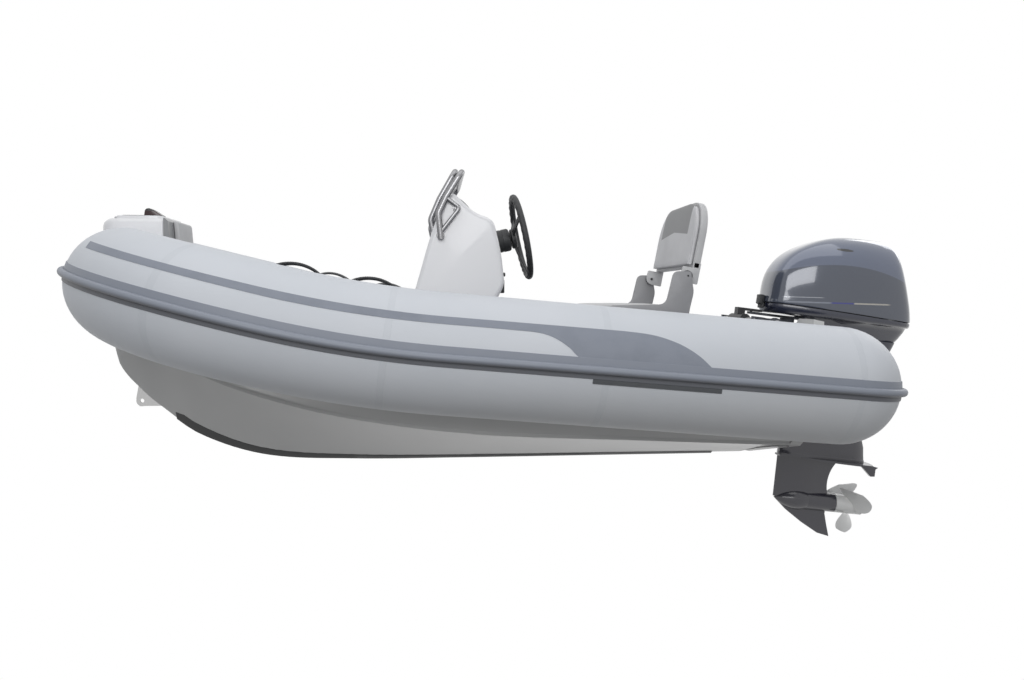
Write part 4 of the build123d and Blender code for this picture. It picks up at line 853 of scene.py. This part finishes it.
def dialFace():  # a plain dial: ring of ticks and a pointer, no lettering
    g = Graph("gauge_face")
    across, down = g.split(g.uv, 0), g.split(g.uv, 1)
    radius = (across * across + down * down).power(0.5)
    turn = across.math("ARCTAN2", down, across)
    ticks = (turn * 14).sine().ramp(0.86, 0.92) * radius.ramp(0.62, 0.64) * (1 - radius.ramp(0.78, 0.8))
    fine = (turn * 56).sine().ramp(0.86, 0.92) * radius.ramp(0.7, 0.71) * (1 - radius.ramp(0.78, 0.8))
    hand = (down - across * 0.6).absolute().ramp(0.05, 0.035) * (1 - radius.ramp(0.58, 0.6)) * (across < 0.12)
    hub = 1 - radius.ramp(0.11, 0.12)
    rim = radius.ramp(0.86, 0.88)
    marks = (ticks + fine * 0.6).clamp()
    tone = g.mix(marks, (0.015, 0.016, 0.018), (0.75, 0.76, 0.76))
    tone = g.mix(hand, tone, (0.62, 0.06, 0.02))
    tone = g.mix(hub, tone, (0.03, 0.03, 0.03))
    tone = g.mix(rim, tone, (0.02, 0.021, 0.023))
    return g.finish(BaseColor=tone, Roughness=0.12, CoatWeight=1.0, CoatRoughness=0.02)


dials = []
for x in dash["gauges"]:
    clock = lathed([(0, 0.0095), (0.0265, 0.0095), (0.0272, 0.0125), (0.029, 0.0138), (0.0312, 0.0122),
                    (0.032, 0.0095), (0.032, 0.004), (0, 0.004)], 56)
    flatUv(clock, 0.031)
    dials.append(shifted(clock, (x, 0, 0)))
piece("gauge_set", join(*dials), "boat", dialFace(), turn=dashTurn, replaces=["gauges"])

# key switch panel on the aft face, below the wheel
switch = dict(x=-0.177, y=0.06, z=0.575, half=0.035, tall=0.029, corner=0.008, deep=0.014)
plate = slab(-switch["half"], switch["half"], switch["tall"], switch["corner"], 0.0, switch["deep"] - 0.001,
             0.003)
rocker = slab(-0.022, -0.004, 0.012, 0.003, 0.012, 0.0138)
keyHole = shifted(lathed([(0, 0.0138), (0.007, 0.0138), (0.008, 0.013), (0.008, 0.012), (0, 0.012)], 24),
                  (0.016, 0, 0))
cordKnob = lathed([(0, 0.0195), (0.0062, 0.0195), (0.0085, 0.017), (0.009, 0.013), (0.009, 0.004),
                   (0.0075, 0.001), (0, 0.001)], 28)
shifted(cordKnob, (0, -0.052, 0))
turnAft = axes((switch["x"], switch["y"], switch["z"]), (0, 1, 0), (0, 0, -1), (-1, 0, 0))
piece("switch_panel", join(plate, rocker, keyHole, cordKnob), "boat", black, turn=turnAft,
      replaces=["ignition_panel"])

# remote control: box, lever and grip
control = dict(x=-0.06, y=-0.27, z=0.7, half=0.045, tall=0.065, corner=0.024, deep=0.044)
box = slab(-control["half"], control["half"], control["tall"], control["corner"], 0.0, control["deep"],
           0.007, 4)
turnSide = axes((control["x"], control["y"], control["z"]), (1, 0, 0), (0, 0, 1), (0, -1, 0))
piece("control_box", box, "boat", black, turn=turnSide, replaces=["throttle_box"])
boss = lathed([(0, 0.06), (0.014, 0.06), (0.0185, 0.057), (0.02, 0.053), (0.02, 0.0445), (0, 0.0445)], 40)
shifted(boss, (0, 0.02, 0))
armPlan = softened([(-0.012, 0.015), (0.012, 0.015), (0.022, 0.09), (0.03, 0.15), (0.012, 0.155),
                    (0.002, 0.09)], [0.004, 0.004, 0.03, 0.004, 0.004, 0.03])
arm = bevelled(prism(armPlan, 0.046, 0.06, "XY"), 0.003, 2)
grip = lathed([(0, -0.006), (0.009, -0.006), (0.0125, -0.003), (0.0148, 0.006), (0.0138, 0.02),
               (0.0128, 0.034), (0.0138, 0.046), (0.012, 0.0525), (0.008, 0.054), (0, 0.054)], 36)
shifted(grip, (0.022, 0.152, 0.008))
piece("control_lever", join(boss, arm, grip), "boat", black, turn=turnSide,
      replaces=["throttle_lever"])


def bentBar(points, radius, bends, steps=9, ring=20):  # a round bar through points, with arcs at its corners
    path = [Vector(points[0])]
    for k in range(1, len(points) - 1):
        at, back, on = Vector(points[k]), Vector(points[k - 1]), Vector(points[k + 1])
        a, b = (back - at).normalized(), (on - at).normalized()
        opening = a.angle(b)
        bend = min(bends, 0.45 * min((back - at).length, (on - at).length) * tan(opening / 2))
        reach = bend / tan(opening / 2)
        middle = at + (a + b).normalized() * (bend / sin(opening / 2))
        first, last = at + a * reach - middle, at + b * reach - middle
        axis, sweep = first.cross(last).normalized(), first.angle(last)
        path += [middle + Matrix.Rotation(sweep * step / steps, 3, axis) @ first for step in range(steps + 1)]
    path.append(Vector(points[-1]))
    bm = bmesh.new()
    side = (path[1] - path[0]).orthogonal().normalized()
    loops = []
    for k, at in enumerate(path):
        ahead = (path[min(k + 1, len(path) - 1)] - path[max(k - 1, 0)]).normalized()
        side = (side - ahead * side.dot(ahead)).normalized()
        made = bmesh.ops.create_circle(bm, segments=ring, radius=radius,
                                       cap_ends=k in (0, len(path) - 1))["verts"]
        turn = Matrix.Translation(at) @ Matrix((side, ahead.cross(side), ahead)).transposed().to_4x4()
        bmesh.ops.transform(bm, matrix=turn, verts=made)
        edges = [e for e in bm.edges if e.verts[0] in made and e.verts[1] in made]
        if loops:
            bmesh.ops.bridge_loops(bm, edges=loops[-1] + edges)
        loops.append(edges)
    return outward(bm)


rail = dict(radius=0.0125, half=0.2, sideY=0.2865, bend=0.034,
            front=[(0.118, 0.8), (0.128, 0.85), (0.091, 0.936), (0.024, 1.054)],
            side=[(0.086, 0.764), (0.097, 0.868), (0.065, 0.936), (0.0, 1.04)],
            brace=[(0.065, 0.934), (0.01, 0.892), (0.088, 0.792)])


def hoop(points, half):
    return [(x, half, z) for x, z in points] + [(x, -half, z) for x, z in reversed(points)]


bars = [bentBar(hoop(rail["front"], rail["half"]), rail["radius"], rail["bend"]),
        bentBar(hoop(rail["side"], rail["sideY"]), rail["radius"], rail["bend"])]
for side in (-1, 1):
    bars.append(bentBar([(x, side * rail["sideY"], z) for x, z in rail["brace"]], rail["radius"] * 0.7,
                        0.014))
    for x, z in ((0.088, 0.78), (0.022, 0.893)):
        foot = lathed([(0, 0.0), (0.0165, 0.0), (0.0165, 0.002), (0.0155, 0.003), (0.0105, 0.0034),
                       (0.0092, 0.005), (0.0092, 0.0165), (0, 0.0165)], 32)
        bars.append(turned(foot, aimed((x, side * (console["half"] + 0.0002), z), (0, side, 0))))
piece("rail_bars", join(*bars), "boat", steel, crease=40, replaces=["console_rail"])


# steering wheel and helm
wheel = dict(x=-0.272, z=0.795, lean=12.0, rim=0.1775, thick=0.015, dish=0.034, hub=0.044, shaft=0.011)
wheelSin, wheelCos = sin(radians(wheel["lean"])), cos(radians(wheel["lean"]))
wheelTurn = axes((wheel["x"], 0, wheel["z"]), (0, 1, 0), (-wheelSin, 0, -wheelCos), (-wheelCos, 0, wheelSin))


def onRim(u, v):  # a round grip, a little flattened, with finger waves behind
    a, b = 2 * pi * u, 2 * pi * v
    wave = 0.0012 * cos(a * 30) * max(0.0, -sin(b)) if cos(b) > -0.2 else 0.0
    thick = wheel["thick"] * 0.985 - 0.0012 - wave
    radius = wheel["rim"] + thick * cos(b)
    return Vector((radius * cos(a), radius * sin(a), thick * sin(b)))


def gripVinyl():  # stitched soft grip with a seam round its inside
    g = Graph("wheel_grip")
    turn, section = g.split(g.uv, 0), g.split(g.uv, 1)
    stitch = (section - 0.5).absolute().ramp(0.018, 0.008) * (turn * 1700).sine().ramp(-0.2, 0.2)
    grain = g.cells(620)
    tone = g.mix(stitch, (0.02, 0.021, 0.023), (0.1, 0.1, 0.105))
    return g.finish(BaseColor=tone, Roughness=0.55, Normal=g.bump(grain * 0.5 + stitch, 0.0004, 0.45))


rimGrip = shapedGrid(180, 24, onRim)
piece("wheel_rim", closeUp(rimGrip), "wheel", gripVinyl(), crease=60, turn=wheelTurn,
      replaces=["steering_wheel_rim"])


def spokeBlade(angle):  # a dished blade with a rib down its middle
    def place(u, v):
        reach = lerp(wheel["hub"] - 0.012, wheel["rim"] - 0.01, u)
        half = lerp(0.0155, 0.012, u) * (1 - 0.18 * sin(pi * u))
        height = lerp(-wheel["dish"] - 0.005 + 0.004, -0.002, u**1.25)
        a = 2 * pi * v
        deep = 0.0035 * (1 + 0.25 * cos(a) ** 8)
        return Vector((reach, half * clipped(1.25 * cos(a)), height + deep * clipped(1.25 * sin(a))))
    bm = closeUp(shapedGrid(18, 28, place))
    bmesh.ops.rotate(bm, verts=bm.verts, cent=(0, 0, 0), matrix=Matrix.Rotation(radians(angle), 3, "Z"))
    return bm


hubBack = -wheel["dish"] - 0.012
hub = lathed([(radius, hubBack + up) for radius, up in (
    (0, -0.09), (wheel["shaft"], -0.09), (wheel["shaft"], 0), (0.04, 0), (0.0435, 0.003), (0.044, 0.012),
    (0.0425, 0.019), (0.038, 0.0225), (0.03, 0.0238), (0.0296, 0.0225), (0.0285, 0.0225), (0.028, 0.0238),
    (0, 0.024))], 64)
piece("wheel_spokes", join(hub, *[spokeBlade(a) for a in (90, 210, 330)]), "wheel", black,
      crease=32, turn=wheelTurn, replaces=["steering_wheel_spokes"])
helmFront = hubBack - 0.006
bore = wheel["shaft"] + 0.0005
helm = lathed([(radius, helmFront - back) for radius,
               back in ((bore, 0.095), (0.0496, 0.095), (0.0496, 0.04), (0.0485, 0.038), (0.0485, 0.033),
                        (0.05, 0.031), (0.05, 0.008), (0.047, 0.002), (0.043, 0), (wheel["shaft"] + 0.004, 0),
                        (bore, 0.002), (bore, 0.095))], 64)
piece("helm_cover", helm, "boat", black, crease=30, turn=wheelTurn, replaces=["helm_unit"])
print("console dressed")


# seat box, cushion, side plates and folding back
seat = dict(front=-0.57, back=-0.95, top=0.5, half=0.304, cushion=0.034, cushionBack=-0.838, overhang=0.014,
            pivot=(-0.94, 0.617), lean=11.0, backHalf=0.29, backCorner=0.15, low=0.0417, high=0.333,
            face=0.007, pad=0.026, thick=0.06, margin=0.01, plate=0.01, cheek=0.012)
mouldGrey = mouldedPlastic("seat_moulding", (0.5, 0.5, 0.505), 0.42, 260, 0.0003)
foot = slab(seat["back"], seat["front"], seat["half"], 0.02, 0.073, seat["top"] - seat["cushion"], 0.01, 4)
piece("seat_box", foot, "boat", whiteGel, replaces=["seat_base"])


def vinyl(name, colour, dark=None, across=None):  # grained vinyl with a soft sheen
    g = Graph(name)
    grain = g.cells(330)
    cloudy = g.noise(7, 4, 0.6)
    tone = g.mix(cloudy.ramp(0.3, 0.8), colour, tuple(c * 0.92 for c in colour))
    if dark:
        tone = g.mix(across(g), tone, dark)
    return g.finish(BaseColor=tone, Roughness=cloudy * 0.12 + 0.46, SheenWeight=0.1,
                    Normal=g.bump(grain * 0.5 + g.noise(900) * 0.3, 0.0004, 0.5))


greyVinyl = vinyl("seat_vinyl", (0.53, 0.53, 0.535))


def domed(outline, levels, centre=None):  # an outline at each (inset, height) level, closed at both ends
    middle = centre or Vector((sum(p[0] for p in outline) / len(outline),
                               sum(p[1] for p in outline) / len(outline)))
    reach = min((Vector(p) - middle).length for p in outline)
    ring = list(outline) + [outline[0]]

    def place(u, v):
        inset, height = levels[round(v * (len(levels) - 1))]
        at = Vector(ring[round(u * (len(ring) - 1))]) - middle
        if inset < 1.0:
            at = at.normalized() * (at.length - inset * (0.55 + 0.45 * at.length / reach))
        else:
            at = at * 0.0 if inset >= 2 else at * (2 - inset)
        return Vector((*(middle + at), height))
    return closeUp(shapedGrid(len(ring) - 1, len(levels) - 1, place))


def cushionLevels(low, high, crown):  # rounded foot, piped seam and a crowned top
    thick = high - low
    return [(2, low), (1.6, low), (0.012, low), (0.004, low + 0.0015), (0.0008, low + 0.006),
            (0.0, low + thick * 0.5), (0.0006, high - 0.01), (0.0016, high - 0.0075), (0.0002, high - 0.006),
            (0.0002, high - 0.0045), (0.0022, high - 0.003), (0.005, high - 0.002), (0.012, high),
            (0.026, high + crown * 0.35), (0.05, high + crown * 0.62), (1.4, high + crown * 0.86),
            (1.7, high + crown * 0.97), (2, high + crown)]


def benchPlan(x0, x1, half, corner):  # rounded plan with plenty of points along its sides
    ring, dense = roundedPlan(x0, x1, half, corner), []
    for k, at in enumerate(ring):
        after = ring[(k + 1) % len(ring)]
        gap = hypot(after[0] - at[0], after[1] - at[1])
        parts = max(1, round(gap / 0.03))
        dense += [(lerp(at[0], after[0], s / parts), lerp(at[1], after[1], s / parts)) for s in range(parts)]
    return dense


bench = domed(benchPlan(seat["cushionBack"], seat["front"] + seat["overhang"], seat["half"] - 0.004, 0.024),
              cushionLevels(seat["top"] - seat["cushion"], seat["top"] - 0.003, 0.005))
piece("bench_cushion", bench, "boat", greyVinyl, crease=50,
                replaces=["seat_cushion"])

bracketSide = softened([(-0.879, 0.636), (-0.954, 0.636), (-0.959, 0.588), (-0.966, 0.55), (-0.946, 0.466),
                        (-0.94, 0.4), (-0.6, 0.4), (-0.6, 0.466), (-0.615, 0.494), (-0.846, 0.498)],
                       [0.022, 0.014, 0.03, 0.03, 0.03, 0, 0, 0.01, 0.01, 0.03])
sides = [bevelled(prism(bracketSide, side * seat["half"], side * (seat["half"] + seat["plate"])), 0.0018, 2)
         for side in (-1, 1)]
bracketPaint = mouldedPlastic("bracket_paint", (0.27, 0.27, 0.28), 0.36, 500, 0.0002)
piece("seat_side_plates", join(*sides), "boat", bracketPaint, replaces=["seat_brackets"])

knobs = []
for side in (-1, 1):
    knob = lathed([(0, 0.278 - 0.006), (0.0058, 0.272), (0.0058, 0.2912), (0.021, 0.2912), (0.023, 0.293),
                   (0.023, 0.301), (0.021, 0.3038), (0.0058, 0.3038), (0.0058, 0.3135), (0.004, 0.314),
                   (0, 0.314)], 40)
    knobs.append(turned(knob, aimed((seat["pivot"][0], 0, seat["pivot"][1]), (0, side, 0))))
piece("pivot_knobs", join(*knobs), "boat", black, replaces=["back_pivot_knobs"])

lean = radians(seat["lean"])
backTurn = axes((seat["pivot"][0], 0, seat["pivot"][1]), (0, 1, 0), (-sin(lean), 0, cos(lean)),
                (cos(lean), 0, sin(lean)))


def backPlan(inset):  # square below, well rounded above
    half, corner = seat["backHalf"] - inset, seat["backCorner"] - inset
    low, high = seat["low"] + inset, seat["high"] - inset
    ring = [(lerp(-half, half, k / 18), low) for k in range(19)]
    ring += [(half, lerp(low, high - corner, k / 7)) for k in range(1, 8)]
    ring += [(half - corner + corner * cos(radians(a)), high - corner + corner * sin(radians(a)))
             for a in range(9, 91, 9)]
    ring += [(lerp(half - corner, corner - half, k / 14), high) for k in range(1, 15)]
    ring += [(corner - half - corner * sin(radians(a)), high - corner + corner * cos(radians(a)))
             for a in range(9, 91, 9)]
    ring += [(-half, lerp(high - corner, low, k / 8)) for k in range(1, 8)]
    return ring


shellBack, shellFace = seat["face"] - seat["thick"], seat["face"] - seat["pad"]
middleBack = Vector((0.0, lerp(seat["low"], seat["high"], 0.5)))
moulding = domed(backPlan(0.0), [(2, shellBack + 0.001), (1.5, shellBack), (0.016, shellBack),
                                 (0.007, shellBack + 0.001), (0.002, shellBack + 0.004),
                                 (0.0, shellBack + 0.009), (0.0, shellFace - 0.005),
                                 (0.0012, shellFace - 0.0035), (0.0012, shellFace - 0.0025),
                                 (0.0004, shellFace - 0.0015), (0.001, shellFace), (1.5, shellFace),
                                 (2, shellFace)], middleBack)
cheekSide = [(-0.027, -0.053), (seat["low"] + 0.02, -0.053), (seat["low"] + 0.02, -0.019),
             (seat["low"] - 0.003, -0.019), (seat["low"] - 0.003, 0.022), (0.0, 0.025), (-0.018, 0.018),
             (-0.026, 0.0)]
cheekSide = softened(cheekSide, [0.004, 0, 0, 0.002, 0.006, 0.008, 0.01, 0.01])
cheeks = [bevelled(prism(cheekSide, side * (seat["backHalf"] - seat["cheek"]), side * seat["backHalf"], "YZ"),
                   0.0014, 2) for side in (-1, 1)]
piece("back_moulding", join(moulding, *cheeks), "seat_back", mouldGrey, turn=backTurn,
      replaces=["backrest_shell"])


def darkInset(g):  # the upper middle of the pad is a darker panel with slanted lower corners
    across, upward = g.split(g.uv, 0).absolute(), g.split(g.uv, 1)
    edge = (across - 0.205).ramp(0.0006, -0.0006)
    low = (upward - (0.205 - across * 0.1)).ramp(-0.0006, 0.0006)
    return edge * low


padPaint = vinyl("back_vinyl", (0.58, 0.578, 0.59), (0.225, 0.226, 0.23), darkInset)
pad = domed(backPlan(seat["margin"]), cushionLevels(shellFace, seat["face"] - 0.002, 0.004), middleBack)
flatUv(pad)
piece("back_pad", pad, "seat_back", padPaint, crease=50, turn=backTurn,
                replaces=["backrest_pad"])

hoodX, hoodFoot = 1.189, 0.754
bowRest = prism([(hoodX - 0.022, hoodFoot + 0.002), (hoodX - 0.0005, hoodFoot + 0.002),
                 (hoodX + 0.005, 0.834), (hoodX + 0.0075, 0.8445), (hoodX - 0.006, 0.8445),
                 (hoodX - 0.014, 0.838)], -0.1, 0.1)
bevelled(bowRest, 0.004, 4)
piece("bow_rest", bowRest, "boat", greyVinyl, crease=50, replaces=["bow_pad"])
print("seat dressed")


# outboard: brackets, swivel, housing, cowl and propeller
outboard = dict(pivotX=-1.403, pivotZ=0.41, trim=7.0)
trimSin, trimCos = sin(radians(outboard["trim"])), cos(radians(outboard["trim"]))
engineTurn = axes((outboard["pivotX"], 0, outboard["pivotZ"]), (trimCos, 0, trimSin), (0, 1, 0),
                  (-trimSin, 0, trimCos))


def engineCoords(g):  # the engine's own frame: origin on the tilt tube, Z up along the leg
    px, pz = outboard["pivotX"], outboard["pivotZ"]
    return g.moved((-(px * trimCos + pz * trimSin), 0, px * trimSin - pz * trimCos),
                   (0, radians(outboard["trim"]), 0))


def cowlPaint():  # glossy metallic shell, darker sides, thin pinstripes and an air slot
    g = Graph("engine_paint")
    place = engineCoords(g)
    x, y, z = (g.split(place, k) for k in range(3))
    flake = g.cells(2600).ramp(0.0, 0.5)
    upper = (z - (0.293 - (x + 0.3) * (x + 0.3) * 0.6)).ramp(-0.0012, 0.0012)
    tone = g.mix(upper, (0.028, 0.036, 0.06), (0.082, 0.102, 0.165))
    tone = g.mix(flake * 0.12, tone, (0.34, 0.38, 0.46))
    line = z - (0.103 - (x + 0.03) * 0.09)
    ends = x.ramp(-0.5, -0.47) * (1 - x.ramp(-0.035, -0.015))
    lower = (line.absolute() * -1 + 0.0032).ramp(-0.0003, 0.0003) * ends
    colour = g.mix(x.ramp(-0.205, -0.225), (0.2, 0.22, 0.27), (0.018, 0.024, 0.22))
    colour = g.mix(x.ramp(-0.312, -0.322), colour, (0.42, 0.4, 0.36))
    tone = g.mix(lower, tone, colour)
    thin = ((line - 0.022).absolute() * -1 + 0.0014).ramp(-0.0003, 0.0003) * x.ramp(-0.19, -0.165) * (
        1 - x.ramp(-0.03, -0.01))
    tone = g.mix(thin, tone, (0.4, 0.42, 0.46))
    slot = ((x + 0.265) * (x + 0.265) * 760 + (z - 0.362) * (z - 0.362) * 26000)
    hole = (1 - slot).ramp(-0.05, 0.05)
    tone = g.mix(hole, tone, (0.012, 0.013, 0.016))
    return g.finish(BaseColor=tone, Roughness=hole * 0.5 + 0.13, Metallic=0.15, CoatWeight=1.0,
                    CoatRoughness=0.03, Normal=g.bump(hole * -1, 0.004, 0.8))


def engineGloss(name, colour, rough=0.24):
    g = Graph(name)
    flake = g.cells(2600).ramp(0.0, 0.5)
    cloudy = g.noise(8, 3, 0.6)
    tone = g.mix(flake * 0.1, colour, tuple(c * 3 + 0.02 for c in colour))
    return g.finish(BaseColor=tone, Roughness=cloudy * 0.12 + rough, CoatWeight=0.7, CoatRoughness=0.08,
                    Normal=g.bump(g.noise(240, 2, 0.5), 0.0002, 0.2))


def stacked(levels, plan, skew=None):  # rings of a plan, one for each (height, fore, aft, half) level
    ring = plan + [(t, -w) for t, w in reversed(plan[1:-1])] + plan[:1]

    def place(u, v):
        z, fore, aft, half = levels[round(v * (len(levels) - 1))]
        t, w = ring[round(u * (len(ring) - 1))]
        x = lerp(aft, fore, t)
        return Vector((x, w * half, z + (skew(x, z) if skew else 0.0)))
    return shapedGrid(len(ring) - 1, len(levels) - 1, place)


def seamZ(x):
    return 0.094 + (x - 0.026) * (0.094 - 0.074) / (0.026 + 0.65)


cowl = dict(seamGap=0.0012)
bullet = [(1.0, 0.0), (1.0, 0.18), (0.995, 0.36), (0.982, 0.5), (0.955, 0.61), (0.915, 0.695), (0.86, 0.775),
          (0.79, 0.85), (0.7, 0.922), (0.6, 0.975), (0.5, 0.999), (0.4, 0.995), (0.3, 0.972), (0.2, 0.925),
          (0.12, 0.872), (0.07, 0.82), (0.035, 0.745), (0.014, 0.64), (0.004, 0.5), (0.0, 0.36), (0.0, 0.18),
          (0.0, 0.0)]
cowlLevels = [(0.0855, 0.0255, -0.6352, 0.1835), (0.092, 0.0257, -0.6352, 0.1845),
              (0.1, 0.0257, -0.634, 0.1848), (0.128, 0.0215, -0.6292, 0.1847),
              (0.16, 0.0222, -0.6215, 0.1842), (0.204, 0.0175, -0.6076, 0.1832),
              (0.244, 0.0055, -0.5945, 0.1815), (0.28, -0.0125, -0.582, 0.1775),
              (0.31, -0.0342, -0.572, 0.1715), (0.338, -0.0622, -0.5615, 0.1615),
              (0.362, -0.0982, -0.553, 0.148), (0.384, -0.1395, -0.544, 0.131),
              (0.402, -0.1815, -0.535, 0.112), (0.416, -0.2238, -0.524, 0.092),
              (0.426, -0.265, -0.512, 0.072), (0.432, -0.304, -0.502, 0.052), (0.4355, -0.348, -0.49, 0.032),
              (0.4372, -0.395, -0.475, 0.015), (0.4376, -0.43, -0.45, 0.002)]


def cowlSkew(x, z):
    return (seamZ(x) + cowl["seamGap"] - 0.0855) * max(0.0, 1 - (z - 0.0855) / 0.25)


shellBm = walled(stacked(cowlLevels, bullet, cowlSkew), 0.004, 0.4)
cowlPiece = piece("cowl_shell", shellBm, "engine", cowlPaint(), crease=50, turn=engineTurn,
                  replaces=["cowl"])
smooth = cowlPiece.modifiers.new("smooth", "SUBSURF")
smooth.levels = smooth.render_levels = 1

panLevels = [(0.085, 0.02, -0.633, 0.1785), (0.08, 0.021, -0.635, 0.1805), (0.072, 0.0195, -0.6355, 0.1805),
             (0.062, 0.015, -0.635, 0.1775), (0.053, 0.0095, -0.6345, 0.169), (0.0505, 0.004, -0.633, 0.16),
             (0.05, -0.06, -0.632, 0.148), (0.048, -0.148, -0.631, 0.136), (0.03, -0.169, -0.629, 0.118),
             (0.0, -0.17, -0.617, 0.095), (-0.019, -0.171, -0.607, 0.08), (-0.02, -0.3, -0.606, 0.078),
             (-0.021, -0.48, -0.605, 0.076), (-0.044, -0.496, -0.597, 0.072), (-0.066, -0.51, -0.589, 0.068),
             (-0.0775, -0.521, -0.586, 0.064)]


def panSkew(x, z):
    return (seamZ(x) - cowl["seamGap"] - 0.085) * max(0.0, 1 - (0.085 - z) / 0.035)


engineDark = engineGloss("engine_dark", (0.021, 0.02, 0.03), 0.28)
pan = closeUp(stacked(panLevels, bullet, panSkew))
piece("pan_moulding", pan, "engine", engineGloss("pan_paint", (0.013, 0.016, 0.034), 0.22),
      crease=38, turn=engineTurn, replaces=["engine_pan"])

lens = [(1.0, 0.0), (0.995, 0.35), (0.97, 0.62), (0.92, 0.82), (0.84, 0.95), (0.72, 1.0), (0.5, 1.0),
        (0.3, 0.96), (0.15, 0.86), (0.06, 0.68), (0.015, 0.4), (0.0, 0.0)]
legLevels = [(-0.0202, -0.1722, -0.513, 0.0615), (-0.06, -0.1722, -0.507, 0.0618),
             (-0.14, -0.1722, -0.496, 0.0618), (-0.2, -0.1722, -0.49, 0.0612),
             (-0.27, -0.1722, -0.488, 0.057), (-0.33, -0.1722, -0.489, 0.053), (-0.39, -0.1722, -0.5, 0.049),
             (-0.43, -0.17, -0.51, 0.046), (-0.455, -0.154, -0.521, 0.045), (-0.475, -0.141, -0.531, 0.0445),
             (-0.52, -0.1405, -0.5475, 0.0435), (-0.56, -0.1405, -0.5535, 0.0428),
             (-0.578, -0.1405, -0.557, 0.0424), (-0.58, -0.1403, -0.559, 0.044),
             (-0.5915, -0.1403, -0.5598, 0.044)]
leg = closeUp(stacked(legLevels, lens))
piece("leg_housing", leg, "engine", engineDark, crease=34, turn=engineTurn,
      replaces=["midsection"])

# propeller: three cupped blades on a vented hub
prop = dict(x=-0.505, z=-0.795, hub=0.044, radius=0.1345, blades=3)


def bladeAt(u, v):  # u from root to tip, v round the section
    reach = lerp(prop["hub"] - 0.01, prop["radius"], u)
    rounding = 1 - max(0.0, (u - 0.72) / 0.28) ** 2.6 * 0.93
    chord = 0.046 * (1 + 0.75 * sin(pi * min(1.0, u * 0.92 + 0.1))) * rounding
    pitch = radians(lerp(56, 25, u**0.8))
    a = 2 * pi * v
    thick = lerp(0.0042, 0.0012, u) * (0.25 + 0.75 * abs(sin(a)))
    along, across = chord * cos(a), thick * sin(a)
    cup = 0.004 * (along / 0.06) ** 2
    rake = -0.012 * u
    return Vector((along * cos(pitch) * -1 + (across + cup) * sin(pitch) + rake,
                   along * sin(pitch) + (across + cup) * cos(pitch), reach))


hubBm = lathed([(0.011, 0.0675), (0.0405, 0.0675), (0.0432, 0.0655), (0.0436, 0.058), (0.0438, 0.02),
                (0.0436, -0.045), (0.0432, -0.064), (0.0438, -0.0662), (0.043, -0.0675), (0.0352, -0.0675),
                (0.0348, -0.064), (0.0348, 0.012), (0.0165, 0.012), (0.0165, -0.058), (0.0105, -0.0665),
                (0, -0.067)], 56)
stub = lathed([(0, 0.1113), (0.0108, 0.1113), (0.011, 0.1108), (0.011, 0.06), (0, 0.06)], 28)
parts = [turned(part, Matrix.Rotation(radians(90), 4, "Y")) for part in (hubBm, stub)]
for k in range(prop["blades"]):
    fin = closeUp(shapedGrid(22, 24, bladeAt), 1e-6)
    bmesh.ops.rotate(fin, verts=fin.verts, cent=(0, 0, 0),
                     matrix=Matrix.Rotation(pi + 2 * pi * k / prop["blades"], 3, "X"))
    parts.append(fin)
propBm = shifted(join(*parts), (prop["x"], 0, prop["z"]))
propPaint = engineGloss("prop_alloy", (0.66, 0.66, 0.65), 0.34)
piece("prop_cast", propBm, "propeller", propPaint, crease=36, turn=engineTurn,
      replaces=["propeller"])

# latch of the cowl: a lever over a wider catch
latchHalf, catchHalf = 0.022, 0.0295
latch = prism(softened([(0.0275, 0.0665), (0.0368, 0.068), (0.039, 0.082), (0.05, 0.086), (0.049, 0.127),
                        (0.04, 0.1275), (0.0275, 0.1262)], [0.003] * 7), -latchHalf, latchHalf)
catch = prism(softened(corners(0.027, 0.0368, 0.067, 0.0895), [0.002] * 4), -catchHalf, catchHalf)
piece("latch_handle", join(bevelled(latch, 0.0022, 2), bevelled(catch, 0.0018, 2)), "engine",
      black, turn=engineTurn, replaces=["cowl_latch"])

# water intake: three short vanes a side, low on the leg
intake = dict(x=-0.276, z=-0.714, half=0.0238, sunk=0.002, proud=0.0014, tall=0.022,
              first=0.008, last=0.0045, pitch=0.0055)
grilles = []
for side in (-1, 1):
    for k in range(3):
        plan = corners(intake["x"] - intake["first"] + intake["pitch"] * k,
                       intake["x"] - intake["last"] + intake["pitch"] * k,
                       intake["z"] - intake["tall"], intake["z"] + intake["tall"])
        grilles.append(prism(softened(plan, [0.001] * 4), side * (intake["half"] - intake["sunk"]),
                             side * (intake["half"] + intake["proud"])))
piece("intake_vanes", join(*grilles), "engine", black, turn=engineTurn)

castAlloy = mouldedPlastic("engine_cast", (0.05, 0.054, 0.066), 0.42, 900, 0.0002)
finishes.update({"gearcase": engineDark, "trim_tab": engineDark, "clamp_brackets": castAlloy,
                 "swivel_bracket": castAlloy, "steering_bracket": castAlloy, "cylinder_arms": castAlloy,
                 "powerhead": mouldedPlastic("engine_block", (0.06, 0.06, 0.06)),
                 "tilt_tube": brushedSteel("engine_steel"), "steering_rod": steel,
                 "steering_barrel": trimRubber("barrel_black", (0.02, 0.02, 0.022), (0.03, 0.03, 0.033),
                                               0.35)})
print("outboard dressed")


# the carried-over nodes take their finishes
for name, material in finishes.items():
    mesh = cadNodes[name].data
    mesh.materials.clear()
    mesh.materials.append(material)

low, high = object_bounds()
{"cad": [list(v) for v in cadBox], "visual": [list(low), list(high)]}
